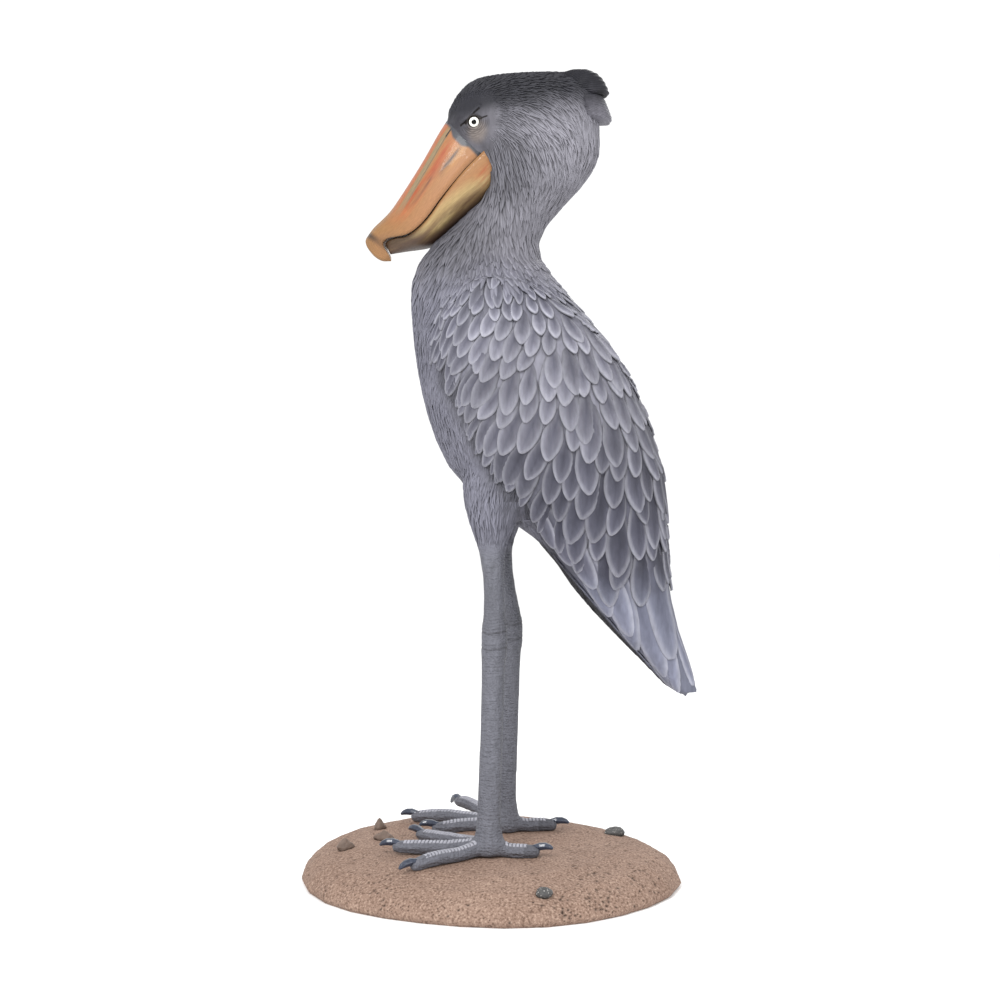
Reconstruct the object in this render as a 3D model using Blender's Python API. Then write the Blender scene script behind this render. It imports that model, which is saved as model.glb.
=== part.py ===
"""Life-size display statue of a standing shoebill on a sand-textured base.

Painted cast resin. Metres, +Z up. The bird faces -X and its left side faces -Y. The origin is the
middle of the base's underside. The tables below are in millimetres and the shapes are made from them.
"""

import math
from collections import namedtuple

import bmesh
import bpy
from mathutils import Vector

MM = 0.001

# Driving sizes, in millimetres
TOTAL_HEIGHT = 1192.5
FIT_GAP = 0.45
LEG_SPACING = 154
WING_THICKNESS = 13
GROUND_HEIGHT = 55
BASE_RADIUS = 267
EYE_RADIUS = 9.2
TOE_RADIUS = 10.5
BODY_SIDES = 18
LIMB_SIDES = 10

# Paint colours of the solids
SLATE = (0.22, 0.22, 0.27)
PALE_SLATE = (0.27, 0.27, 0.32)
CROWN_GREY = (0.07, 0.07, 0.09)
HORN = (0.60, 0.36, 0.18)
EYE_WHITE = (0.85, 0.84, 0.78)
CLAW_BLACK = (0.03, 0.035, 0.05)
SAND = (0.45, 0.30, 0.22)
STONE = (0.16, 0.13, 0.12)

for old in list(bpy.data.objects):
    bpy.data.objects.remove(old, do_unlink=True)

statue = bpy.data.collections.new("shoebill_statue")
cutters = bpy.data.collections.new("cutters")
for made in (statue, cutters):
    bpy.context.scene.collection.children.link(made)


def paint(name, colour, roughness=0.6):
    """A painted resin finish."""
    finish = bpy.data.materials.new(name)
    finish.use_nodes = True
    shader = finish.node_tree.nodes["Principled BSDF"]
    shader.inputs["Base Color"].default_value = (*colour, 1)
    shader.inputs["Roughness"].default_value = roughness
    shader.inputs["Metallic"].default_value = 0
    return finish


BODY_PAINT = paint("body_paint", SLATE)
LEG_PAINT = paint("leg_paint", PALE_SLATE)
CROWN_PAINT = paint("crown_paint", CROWN_GREY)
BILL_PAINT = paint("bill_paint", HORN, 0.4)
EYE_PAINT = paint("eye_paint", EYE_WHITE, 0.15)
CLAW_PAINT = paint("claw_paint", CLAW_BLACK, 0.3)
SAND_PAINT = paint("sand_paint", SAND, 0.9)
STONE_PAINT = paint("stone_paint", STONE, 0.7)


def add_object(name, mesh, finish=None, collection=statue):
    made = bpy.data.objects.new(name, mesh)
    collection.objects.link(made)
    if finish:
        made.data.materials.append(finish)
        made.data.shade_smooth()
        made.data.set_sharp_from_angle(angle=math.radians(50))
    if collection is cutters:
        made.hide_render = True
        made.display_type = "WIRE"
    return made


def loft(name, rings, finish=None, collection=statue):
    """A closed solid through rings of points in millimetres. A ring of one point is a tip."""
    shape = bmesh.new()
    loops = [[shape.verts.new(Vector(point) * MM) for point in ring] for ring in rings]
    for above, below in zip(loops, loops[1:]):
        count = max(len(above), len(below))
        for k in range(count):
            after = (k + 1) % count
            corners = [above[k % len(above)], above[after % len(above)]]
            corners += [below[after % len(below)], below[k % len(below)]]
            shape.faces.new(list(dict.fromkeys(corners)))
    for end in (loops[0], loops[-1]):
        if len(end) > 2:
            shape.faces.new(end)
    bmesh.ops.recalc_face_normals(shape, faces=shape.faces)
    bmesh.ops.triangulate(shape, faces=shape.faces)
    mesh = bpy.data.meshes.new(name)
    shape.to_mesh(mesh)
    shape.free()
    return add_object(name, mesh, finish, collection)


def eased(stations, key):
    """A station at any key, on smooth curves through the stations' values. The first field is the key."""
    keys = [station[0] for station in stations]
    last = len(stations) - 2
    i = min(last, max(0, sum(1 for k in keys[1:-1] if (key - k) * (keys[-1] - keys[0]) > 0)))
    low, high = stations[i], stations[i + 1]
    before, after = stations[max(0, i - 1)], stations[min(last + 1, i + 2)]
    span = high[0] - low[0]
    t = (key - low[0]) / span
    values = []
    for field in range(1, len(low)):
        slope_low = (high[field] - before[field]) / (high[0] - before[0]) * span
        slope_high = (after[field] - low[field]) / (after[0] - low[0]) * span
        values.append(
            (2 * t**3 - 3 * t**2 + 1) * low[field]
            + (t**3 - 2 * t**2 + t) * slope_low
            + (3 * t**2 - 2 * t**3) * high[field]
            + (t**3 - t**2) * slope_high
        )
    return type(low)(key, *values)


def signed_power(value, power):
    return math.copysign(abs(value) ** power, value)


def outline_point(section, angle, grow=0.0):
    """A point of a level section of the body. Angle 0 is the bird's front, 90 degrees its left side."""
    c, s = math.cos(angle), math.sin(angle)
    squareness = section.front_square if c > 0 else 2.0
    reach = (section.x_wide - section.x_front if c > 0 else section.x_back - section.x_wide) + grow
    x = section.x_wide - reach * signed_power(c, 2 / squareness)
    y = -(section.half_width + grow) * signed_power(s, 2 / squareness)
    return (x, y, section.z)


# Level sections of the body from crown to tail, under the wings
Section = namedtuple("Section", "z x_front x_wide x_back half_width front_square")
HEAD_SECTIONS = [
    Section(1191, -2, 60, 118, 17, 2.0),
    Section(1187.5, -23, 60, 137, 30, 2.1),
    Section(1177.5, -39, 60, 149, 43, 2.2),
    Section(1160, -54, 60, 157, 54, 2.3),
    Section(1139, -63, 58, 161, 60, 2.4),
    Section(1116, -68, 55, 162, 62.5, 2.6),
    Section(1093, -56, 52, 162, 63, 2.6),
    Section(1069, -28, 52, 161, 63, 2.4),
    Section(1047, -12, 52, 152, 61, 2.3),
    Section(1024, -12, 48, 134, 58, 2.2),
    Section(1000, -22, 38, 110, 55, 2.1),
    Section(970, -54, 18, 83, 56, 2.1),
    Section(943, -87, -6, 71, 61, 2.0),
    Section(915, -109, -15, 76, 70, 2.0),
    Section(885, -120, -10, 98, 82, 2.0),
    Section(858, -121, 0, 121, 92, 2.0),
]
TRUNK_SECTIONS = [
    Section(800, -117, 25, 170, 107, 2.0),
    Section(740, -108, 50, 201, 115, 2.0),
    Section(680, -93, 75, 223, 115, 2.0),
    Section(620, -68, 100, 241, 108, 2.0),
    Section(585, -40, 115, 248, 100, 2.1),
    Section(555, -5, 130, 249, 91, 2.2),
    Section(523, 46, 148, 250, 82, 2.3),
    Section(495, 80, 165, 251, 74, 2.4),
    Section(474, 96, 173, 252, 68, 2.4),
]
TAIL_SECTIONS = [
    Section(454, 105, 180, 252, 59, 2.4),
    Section(430, 127, 188, 255, 50, 2.4),
    Section(388, 163, 214, 263, 42, 2.4),
    Section(350, 202, 238, 274, 31, 2.4),
    Section(320, 231, 258, 284, 21, 2.2),
    Section(295, 255, 275, 292, 12, 2.0),
    Section(278, 276, 286, 297, 6, 2.0),
]
BODY_SECTIONS = HEAD_SECTIONS + TRUNK_SECTIONS + TAIL_SECTIONS


def body_ring(z, grow=0.0, sides=BODY_SIDES):
    section = eased(BODY_SECTIONS, z)
    return [outline_point(section, math.tau * k / sides, grow) for k in range(sides)]


def levels(first, last, count):
    return [first + (last - first) * k / (count - 1) for k in range(count)]


def sliced(name, whole, cuts, finish):
    """The stretch of a solid between cutting planes. Each cut is a point and a normal."""
    shape = bmesh.new()
    shape.from_mesh(whole.data)
    for point, normal in cuts:
        normal = Vector(normal).normalized()
        place = (Vector(point) + normal * FIT_GAP / 2) * MM
        everything = shape.verts[:] + shape.edges[:] + shape.faces[:]
        bmesh.ops.bisect_plane(
            shape, geom=everything, dist=1e-7, plane_co=place, plane_no=normal, clear_inner=True
        )
        bmesh.ops.holes_fill(shape, edges=shape.edges, sides=0)
    bmesh.ops.recalc_face_normals(shape, faces=shape.faces)
    mesh = bpy.data.meshes.new(name)
    shape.to_mesh(mesh)
    shape.free()
    return add_object(name, mesh, finish)


def below(cut):
    """The same cut, with the other side kept."""
    point, normal = cut
    return (point, tuple(-part for part in normal))


def grown_cutter(source, name):
    """A cutter in the uncut shape of another object, larger by the fitting gap all round."""
    bpy.context.view_layer.update()
    shape = bmesh.new()
    shape.from_mesh(source.data)
    shape.transform(source.matrix_world)
    bmesh.ops.triangulate(shape, faces=shape.faces)
    shape.normal_update()
    moves = [v.normal * FIT_GAP * MM * min(3, v.calc_shell_factor()) for v in shape.verts]
    for vertex, move in zip(shape.verts, moves):
        vertex.co += move
    mesh = bpy.data.meshes.new(name)
    shape.to_mesh(mesh)
    shape.free()
    return add_object(name, mesh, None, cutters)


def combine(target, other, operation):
    cut = target.modifiers.new(operation.lower(), "BOOLEAN")
    cut.operation = operation
    cut.object = other
    cut.solver = "EXACT"
    return cut


def clear_of(target, *neighbours):
    """Cuts the neighbours out of a solid, and leaves the fitting gap between them."""
    for neighbour in neighbours:
        combine(target, grown_cutter(neighbour, f"{target.name}_less_{neighbour.name}"), "DIFFERENCE")


# Head, neck, trunk and tail: one column, parted by thin cuts at the jaw, the shoulders and the vent
JAW_CUT = ((50, 0, 1008), (0.35, 0, 0.94))
NECK_CUT = ((-10, 0, 893), (-0.25, 0, 0.97))
VENT_CUT = ((190, 0, 468), (-0.35, 0, 0.94))
column_levels = [section.z for section in HEAD_SECTIONS] + levels(826, 294, 16)
CROWN_TIP = (60, 0, TOTAL_HEIGHT)
TAIL_TIP = (289, 0, 275)
column_rings = [[CROWN_TIP]] + [body_ring(z) for z in column_levels] + [[TAIL_TIP]]
column = loft("column", column_rings, collection=cutters)
head = sliced("head", column, [JAW_CUT], CROWN_PAINT)
neck = sliced("neck", column, [below(JAW_CUT), NECK_CUT], BODY_PAINT)
trunk = sliced("trunk", column, [below(NECK_CUT), VENT_CUT], BODY_PAINT)
tail = sliced("tail", column, [below(VENT_CUT)], CROWN_PAINT)


# Bill: sections given along the bill from the gape corner, and up from the line of the gape
GAPE_CORNER = Vector((1.7, 0, 1076.7))
BILL_ALONG = Vector((-0.565, 0, -0.825)).normalized()
BILL_UP = Vector((BILL_ALONG.z, 0, -BILL_ALONG.x))
BillSection = namedtuple("BillSection", "along_top top along_foot foot half_width")
UPPER_BILL = [
    BillSection(0, 84.5, 18, 3.4, 46),
    BillSection(24, 84.0, 40, 8.6, 48),
    BillSection(58, 81.6, 72, 12.6, 49.8),
    BillSection(92, 80.4, 101, 15.3, 48.5),
    BillSection(124, 80.0, 128, 17.3, 45.5),
    BillSection(152, 80.8, 150, 22, 41),
    BillSection(171, 84.3, 168, 31, 36),
    BillSection(187, 88.2, 180, 44, 31),
    BillSection(200, 89.2, 189, 55.5, 25),
    BillSection(210.5, 88.6, 196, 60, 19),
    BillSection(217, 82, 201, 59, 14.5),
    BillSection(221, 72, 204, 55, 11.5),
    BillSection(223, 61, 206.5, 50, 9),
    BillSection(221.5, 50, 209, 44.5, 6.5),
]
HOOK_TIP = (214.5, 39)
LOWER_BILL = [
    BillSection(0, -3, 36, -42, 44),
    BillSection(18, 2, 52, -40, 47.5),
    BillSection(41, 7.0, 72, -33, 48.5),
    BillSection(66, 10.4, 92, -25, 48.5),
    BillSection(97, 13.6, 115, -17, 46.3),
    BillSection(126, 15.5, 136, -10.5, 42.5),
    BillSection(147, 20, 154, -4, 38),
    BillSection(161, 26, 167, 4, 32.5),
    BillSection(173, 34.5, 178, 15, 26),
    BillSection(183, 48, 189, 27, 18.5),
    BillSection(191, 56.5, 198, 36.5, 12),
    BillSection(198, 59, 205, 44, 7),
]
RIDGE_HALF_WIDTH = 7.5
RIDGE_HEIGHT = 2.6
RIDGE_FULL_AT = 30
VAULT_POINTS = 11
FLOOR_POINTS = 3
VAULT_SIDE_POWER = 0.86
VAULT_TOP_POWER = 0.62
FLOOR_HOLLOW = 0.09


def on_bill(along, up, y=0.0):
    point = GAPE_CORNER + BILL_ALONG * along + BILL_UP * up
    return (point.x, y, point.z)


def bill_ring(section, upper):
    """The upper bill is a vault with a keel along its ridge, and the lower one an upturned vault."""
    ridge, floor = (section.along_top, section.top), (section.along_foot, section.foot)
    if not upper:
        ridge, floor = floor, ridge
    keel = RIDGE_HEIGHT * min(1, section.half_width / RIDGE_FULL_AT) if upper else 0
    height = math.dist(ridge, floor)
    ring = []
    for k in range(VAULT_POINTS):
        angle = math.pi * (k / (VAULT_POINTS - 1) - 0.5)
        y = section.half_width * signed_power(math.sin(angle), VAULT_SIDE_POWER)
        rise = math.cos(angle) ** VAULT_TOP_POWER * (1 - keel / height)
        if upper and abs(y) < RIDGE_HALF_WIDTH:
            rise += keel / height
        place = [floor[i] + (ridge[i] - floor[i]) * rise for i in (0, 1)]
        ring.append(on_bill(*place, y))
    for k in range(1, FLOOR_POINTS + 1):
        share = k / (FLOOR_POINTS + 1)
        y = section.half_width * (1 - 2 * share)
        hollow = FLOOR_HOLLOW * math.sin(math.pi * share)
        place = [floor[i] + (ridge[i] - floor[i]) * hollow for i in (0, 1)]
        ring.append(on_bill(*place, y))
    return ring


bill_upper = loft(
    "bill_upper", [bill_ring(s, True) for s in UPPER_BILL] + [[on_bill(*HOOK_TIP)]], BILL_PAINT
)
bill_lower = loft("bill_lower", [bill_ring(s, False) for s in LOWER_BILL], BILL_PAINT)
clear_of(bill_lower, bill_upper)


# Face: the head's front, carried out to the bill in the bill's own section
FACE = [
    BillSection(-72, 46, -52, -14, 46),
    BillSection(-44, 74, -24, -9, 52),
    BillSection(-18, 83, 3, 0, 50),
    BillSection(1, 84.2, 19, 3.6, 46.3),
]
face = loft("face", [bill_ring(section, True) for section in FACE], collection=cutters)
combine(head, face, "UNION")
clear_of(head, bill_upper, bill_lower)
clear_of(neck, bill_lower, bill_upper)

# Eyes: painted balls in sockets under the brow
EYE_PLACE = (-16.5, 48.8, 1112.4)
for side, sign in (("left", -1), ("right", 1)):
    bpy.ops.mesh.primitive_uv_sphere_add(segments=10, ring_count=6, radius=EYE_RADIUS * MM)
    eye = bpy.context.object
    eye.name = f"eye_{side}"
    eye.rotation_euler = (math.radians(90), 0, 0)
    eye.location = Vector((EYE_PLACE[0], sign * EYE_PLACE[1], EYE_PLACE[2])) * MM
    for holder in eye.users_collection:
        holder.objects.unlink(eye)
    statue.objects.link(eye)
    eye.data.materials.append(EYE_PAINT)
    eye.data.shade_smooth()
    clear_of(head, eye)

# Crest: two stepped tiers of swept-back feathers on the back of the crown
CrestSection = namedtuple("CrestSection", "z reach half_width")
CREST = [
    CrestSection(1190, 140, 20),
    CrestSection(1187, 153, 28),
    CrestSection(1178, 164, 34),
    CrestSection(1164, 173, 35),
    CrestSection(1154, 174.5, 33),
    CrestSection(1151, 167, 37),
    CrestSection(1143, 175, 40),
    CrestSection(1130, 180.5, 38),
    CrestSection(1123, 178.5, 35),
    CrestSection(1119, 166, 31),
]
CREST_ROOT = 112
CREST_SIDES = 12
CREST_SQUARENESS = 0.8


def crest_ring(section):
    middle = (section.reach + CREST_ROOT) / 2
    ring = []
    for k in range(CREST_SIDES):
        angle = math.tau * k / CREST_SIDES
        x = middle + (section.reach - middle) * signed_power(math.cos(angle), CREST_SQUARENESS)
        ring.append((x, section.half_width * signed_power(math.sin(angle), CREST_SQUARENESS), section.z))
    return ring


crest = loft("crest", [crest_ring(section) for section in CREST], CROWN_PAINT)
clear_of(crest, head)


# Legs: thigh, shin with the ankle, and tarsus with the ball of the foot, parted from one limb
LegSection = namedtuple("LegSection", "z x inward half_length half_width")
LEG = [
    LegSection(655, 48, 30, 50, 18),
    LegSection(625, 38, 26, 62, 27),
    LegSection(592, 26, 20, 60, 33),
    LegSection(560, 18, 12, 48, 34),
    LegSection(530, 14, 6, 35, 30),
    LegSection(505, 13.5, 3, 24, 24),
    LegSection(480, 15, 0, 18, 18),
    LegSection(455, 16.5, 0, 15.3, 15),
    LegSection(425, 17, 0, 14.4, 14),
    LegSection(398, 17.3, 0, 15.6, 15),
    LegSection(376, 17.7, 0, 19, 17.5),
    LegSection(362, 17.7, 0, 18.7, 17.3),
    LegSection(350, 17.5, 0, 19.3, 17.8),
    LegSection(332, 16.5, 0, 17.4, 16),
    LegSection(300, 15.4, 0, 16.5, 15),
    LegSection(220, 13.4, 0, 16.4, 14.8),
    LegSection(140, 10.2, 0, 16.6, 14.8),
    LegSection(104, 9.5, 0, 17, 16),
    LegSection(84, 9.5, 0, 20, 20),
    LegSection(68, 10, 0, 24, 25),
    LegSection(56, 10, 0, 20, 21),
]
KNEE_CUT = ((0, 0, 478), (0, 0, 1))
ANKLE_CUT = ((0, 0, 334), (0, 0, 1))
RIGHT_KNEE_FORWARD = 13
BEND_START, BEND_FULL = 390, 470
Leg = namedtuple("Leg", "whole thigh shin tarsus")


def leg_ring(section, side, sign):
    """The right leg is bent a little further forward above the ankle than the left one."""
    bent = min(1, max(0, (section.z - BEND_START) / (BEND_FULL - BEND_START))) if side == "right" else 0
    x_middle = section.x - RIGHT_KNEE_FORWARD * bent
    y_middle = sign * (LEG_SPACING / 2 - section.inward)
    ring = []
    for k in range(LIMB_SIDES):
        angle = math.tau * k / LIMB_SIDES
        x = x_middle + section.half_length * math.cos(angle)
        ring.append((x, y_middle + section.half_width * math.sin(angle), section.z))
    return ring


def make_leg(side, sign):
    limb = loft(f"limb_{side}", [leg_ring(section, side, sign) for section in LEG], collection=cutters)
    return Leg(
        limb,
        sliced(f"thigh_{side}", limb, [KNEE_CUT], BODY_PAINT),
        sliced(f"shin_{side}", limb, [below(KNEE_CUT), ANKLE_CUT], LEG_PAINT),
        sliced(f"tarsus_{side}", limb, [below(ANKLE_CUT)], LEG_PAINT),
    )


legs = {"left": make_leg("left", -1), "right": make_leg("right", 1)}

# Wings: shells over the trunk's sides, from the shoulder to the tail, parted at the end of the coverts
WingSection = namedtuple("WingSection", "z front_angle back_angle")
WING = [
    WingSection(880, 95, 112),
    WingSection(872, 80, 128),
    WingSection(845, 62, 144),
    WingSection(800, 48, 158),
    WingSection(747, 42, 168),
    WingSection(715, 45, 174),
    WingSection(650, 46, 177.2),
    WingSection(613, 48, 177.5),
    WingSection(582, 50, 177.5),
    WingSection(542, 47, 177.5),
    WingSection(525, 40, 177.5),
    WingSection(506, 30, 177.5),
    WingSection(469, 37, 177.5),
    WingSection(430, 47, 177.5),
    WingSection(388, 46, 177),
    WingSection(345, 52, 176),
    WingSection(307, 60, 174),
    WingSection(284, 62, 165),
]
COVERTS_END = ((190, 0, 452), (0.05, 0, 1))
WING_ACROSS = 8
EDGE_THICKNESS = 3.0
# Shares of the wing's width over which its front and back edges thicken
FRONT_BEVEL, BACK_BEVEL = 0.22, 0.12
BACK_EDGE_SHARE = 0.75
WING_SEAT = 6
SEAT_LIMIT = 0.35


def wing_ring(station, sign):
    """Outer points from the wing's front edge round to its back, then the inner ones on the way home."""
    section = eased(BODY_SECTIONS, station.z)
    outer, inner = [], []
    for k in range(WING_ACROSS):
        share = k / (WING_ACROSS - 1)
        angle = math.radians(station.front_angle + (station.back_angle - station.front_angle) * share)
        rise = min(1, share / FRONT_BEVEL, (1 - share) / BACK_BEVEL + BACK_EDGE_SHARE)
        thickness = EDGE_THICKNESS + (WING_THICKNESS - EDGE_THICKNESS) * rise**0.7
        x, y, z = outline_point(section, angle, thickness)
        outer.append((x, -sign * y, z))
        x, y, z = outline_point(section, angle, -min(WING_SEAT, section.half_width * SEAT_LIMIT))
        inner.append((x, -sign * y, z))
    return outer + inner[::-1]


def make_wing(side, sign):
    stations = [WING[0]] + [eased(WING, z) for z in levels(872, 284, 14)]
    whole = loft(f"whole_wing_{side}", [wing_ring(station, sign) for station in stations], collection=cutters)
    sliced(f"wing_{side}", whole, [COVERTS_END], BODY_PAINT)
    sliced(f"flight_feathers_{side}", whole, [below(COVERTS_END)], BODY_PAINT)
    return whole


whole_wings = {"left": make_wing("left", -1), "right": make_wing("right", 1)}
clear_of(trunk, *whole_wings.values(), legs["left"].whole, legs["right"].whole)
clear_of(tail, *whole_wings.values())
for side, leg in legs.items():
    clear_of(leg.thigh, whole_wings[side])


# Base: a low mound of sand with an uneven round outline
BASE_TURN = math.radians(-9)


def base_reach(angle):
    uneven = 3 * math.sin(3 * angle) + 3 * math.sin(5 * angle + 1) - 5 * math.cos(angle)
    return BASE_RADIUS + 17 * math.cos(2 * (angle - BASE_TURN)) + uneven


SWELL = (-75, 178)
SWELL_HEIGHT = 11
SWELL_SPREAD = 62


def ground(x, y):
    """Height of the sand: a flat dome with slight waves, steeper behind, swelling under the far outer toe."""
    angle = math.atan2(y, x)
    share = min(1, math.hypot(x, y) / base_reach(angle))
    dome = GROUND_HEIGHT * math.sqrt(max(0, 1 - share ** (6.5 + 2.5 * math.sin(angle))))
    waves = 1.6 * math.sin(x * 0.031 + 1) * math.cos(y * 0.027) + 1.1 * math.sin((x + y) * 0.052)
    swell = SWELL_HEIGHT * math.exp(-0.5 * (math.dist((x, y), SWELL) / SWELL_SPREAD) ** 2)
    return dome + (1 - share**3) * waves + (1 - share**9) * swell


BASE_SIDES = 28
BASE_SHARES = [0.985, 0.945, 0.86, 0.68, 0.4]


def base_ring(share):
    ring = []
    for k in range(BASE_SIDES):
        angle = math.tau * k / BASE_SIDES
        reach = base_reach(angle) * share
        x, y = reach * math.cos(angle), reach * math.sin(angle)
        ring.append((x, y, ground(x, y)))
    return ring


RIM_HEIGHT = 7
underside = [(x, y, 0) for x, y, _ in base_ring(BASE_SHARES[0])]
rim = [(x, y, RIM_HEIGHT) for x, y, _ in base_ring(1.0)]
base_rings = [underside, rim] + [base_ring(share) for share in BASE_SHARES]
base = loft("sand_base", base_rings + [[(0, 0, ground(0, 0))]], SAND_PAINT)


# Toes and claws: tapered limbs along the sand, each with a claw out of its end
def tapered_limb(name, points, radii, finish):
    """A round limb with a radius at each point, as a closed mesh."""
    line = bpy.data.curves.new(name, "CURVE")
    line.dimensions = "3D"
    line.bevel_depth = MM
    line.bevel_resolution = 1
    line.use_fill_caps = True
    spline = line.splines.new("POLY")
    spline.points.add(len(points) - 1)
    for knot, point, radius in zip(spline.points, points, radii):
        knot.co = (*(Vector(point) * MM), 1)
        knot.radius = radius
    drawn = bpy.data.objects.new(name, line)
    statue.objects.link(drawn)
    bpy.context.view_layer.update()
    graph = bpy.context.evaluated_depsgraph_get()
    mesh = bpy.data.meshes.new_from_object(drawn.evaluated_get(graph))
    shape = bmesh.new()
    shape.from_mesh(mesh)
    bmesh.ops.remove_doubles(shape, verts=shape.verts, dist=1e-6)
    bmesh.ops.recalc_face_normals(shape, faces=shape.faces)
    bmesh.ops.triangulate(shape, faces=shape.faces)
    shape.to_mesh(mesh)
    shape.free()
    mesh.materials.clear()
    bpy.data.objects.remove(drawn)
    return add_object(name, mesh, finish)


Toe = namedtuple("Toe", "name turn length tip_lift")
# Turn is the toe's heading in plan, in degrees from straight ahead, positive to the bird's right
FOOT = {
    "left": [
        Toe("middle", -2, 140, 0),
        Toe("outer", -42, 128, -1),
        Toe("inner", 34, 147, 0),
        Toe("hind", 182, 73, 0),
    ],
    "right": [
        Toe("middle", 14, 161, 0),
        Toe("outer", 50, 154, 9),
        Toe("inner", -16, 114, 0),
        Toe("hind", 169, 77, 0),
    ],
}
HUB = {"left": (10, -LEG_SPACING / 2), "right": (11, LEG_SPACING / 2)}
# Share of the toe's length, height of its middle in radii, and radius, along each toe
TOE_SHAPE = [
    (0.06, 1.25, 1.08),
    (0.22, 1.05, 1.06),
    (0.42, 0.88, 1.0),
    (0.62, 0.88, 1.0),
    (0.80, 0.84, 0.95),
    (0.92, 0.80, 0.88),
    (0.985, 0.76, 0.66),
    (1.0, 0.74, 0.34),
]
# Length out from the toe's end, height, and radius, along each claw, in millimetres
CLAW_SHAPE = [(-8, 13.5, 4.8), (1, 15.6, 5.8), (9, 16.0, 5.3), (15, 14.6, 4.0), (19.5, 12.2, 1.8)]


def toe_point(hub, toe, distance, height):
    """A point over the toe's line on the sand, raised by the toe's lift towards its tip."""
    heading = math.radians(toe.turn)
    x, y = hub[0] - distance * math.cos(heading), hub[1] + distance * math.sin(heading)
    return (x, y, ground(x, y) + height + toe.tip_lift * min(1, distance / toe.length) ** 2)


def make_foot(side):
    hub, tarsus, made = HUB[side], legs[side].tarsus, []
    for toe in FOOT[side]:
        points = [toe_point(hub, toe, share * toe.length, high * TOE_RADIUS) for share, high, _ in TOE_SHAPE]
        radii = [TOE_RADIUS * thick for _, _, thick in TOE_SHAPE]
        digit = tapered_limb(f"toe_{side}_{toe.name}", points, radii, LEG_PAINT)
        clear_of(digit, tarsus, *made)
        points = [toe_point(hub, toe, toe.length + out, high) for out, high, _ in CLAW_SHAPE]
        radii = [thick for _, _, thick in CLAW_SHAPE]
        claw = tapered_limb(f"claw_{side}_{toe.name}", points, radii, CLAW_PAINT)
        clear_of(claw, digit)
        made.append(digit)
        yield digit
        yield claw


on_the_sand = [*make_foot("left"), *make_foot("right"), legs["left"].tarsus, legs["right"].tarsus]

# Stones: flattened lumps half sunk in the sand
Stone = namedtuple("Stone", "x y length width height turn")
STONES = [
    Stone(-211, -42, 27, 20, 20, 20),
    Stone(-163, 0, 32, 24, 18, -10),
    Stone(-187, 74, 20, 18, 22, 40),
    Stone(175, 104, 32, 22, 16, 15),
    Stone(106, -204, 27, 20, 14, -20),
]


STONE_LUMPS = 0.09
STONE_LIFT = 0.12


def make_stone(number, stone):
    shape = bmesh.new()
    bmesh.ops.create_icosphere(shape, subdivisions=2, radius=0.5)
    turn = math.radians(stone.turn)
    for vertex in shape.verts:
        x, y, z = vertex.co
        lump = 1 + STONE_LUMPS * (math.sin(7 * x + 3 * number) + math.sin(6 * y + 5 * z + number))
        x, y, z = x * stone.length * lump, y * stone.width * lump, z * stone.height * lump
        ahead = x * math.cos(turn) - y * math.sin(turn)
        aside = x * math.sin(turn) + y * math.cos(turn)
        height = ground(stone.x, stone.y) + stone.height * STONE_LIFT + z
        vertex.co = Vector((stone.x + ahead, stone.y + aside, height)) * MM
    mesh = bpy.data.meshes.new(f"stone_{number}")
    shape.to_mesh(mesh)
    shape.free()
    return add_object(f"stone_{number}", mesh, STONE_PAINT)


on_the_sand += [make_stone(number, stone) for number, stone in enumerate(STONES, 1)]
clear_of(base, *on_the_sand)
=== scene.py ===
"""Looks of the shoebill statue: painted cast resin, standing on its own sand-textured base."""

import itertools
import math
import random
from collections import namedtuple

import bmesh
import bpy
import numpy as np
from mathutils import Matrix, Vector, noise
from mathutils.bvhtree import BVHTree


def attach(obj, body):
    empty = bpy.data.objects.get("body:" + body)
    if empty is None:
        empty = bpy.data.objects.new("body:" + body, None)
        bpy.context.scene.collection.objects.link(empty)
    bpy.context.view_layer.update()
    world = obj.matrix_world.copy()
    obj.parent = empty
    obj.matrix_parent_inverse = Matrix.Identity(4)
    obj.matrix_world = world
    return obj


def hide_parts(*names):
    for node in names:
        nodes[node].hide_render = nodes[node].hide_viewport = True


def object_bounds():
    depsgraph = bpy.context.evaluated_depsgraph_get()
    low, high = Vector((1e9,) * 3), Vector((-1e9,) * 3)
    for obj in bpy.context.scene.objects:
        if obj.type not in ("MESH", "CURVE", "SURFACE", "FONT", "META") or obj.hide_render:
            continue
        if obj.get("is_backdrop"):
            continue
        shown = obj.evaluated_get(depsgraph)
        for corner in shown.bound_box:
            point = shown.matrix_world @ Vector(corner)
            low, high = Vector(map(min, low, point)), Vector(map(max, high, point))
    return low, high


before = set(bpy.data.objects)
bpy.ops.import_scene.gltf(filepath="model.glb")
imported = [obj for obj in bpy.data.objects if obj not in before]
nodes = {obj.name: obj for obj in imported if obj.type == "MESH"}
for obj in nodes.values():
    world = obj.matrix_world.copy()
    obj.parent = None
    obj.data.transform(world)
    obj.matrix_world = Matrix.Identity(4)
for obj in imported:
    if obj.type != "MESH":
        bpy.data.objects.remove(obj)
cad_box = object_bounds()

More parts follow.
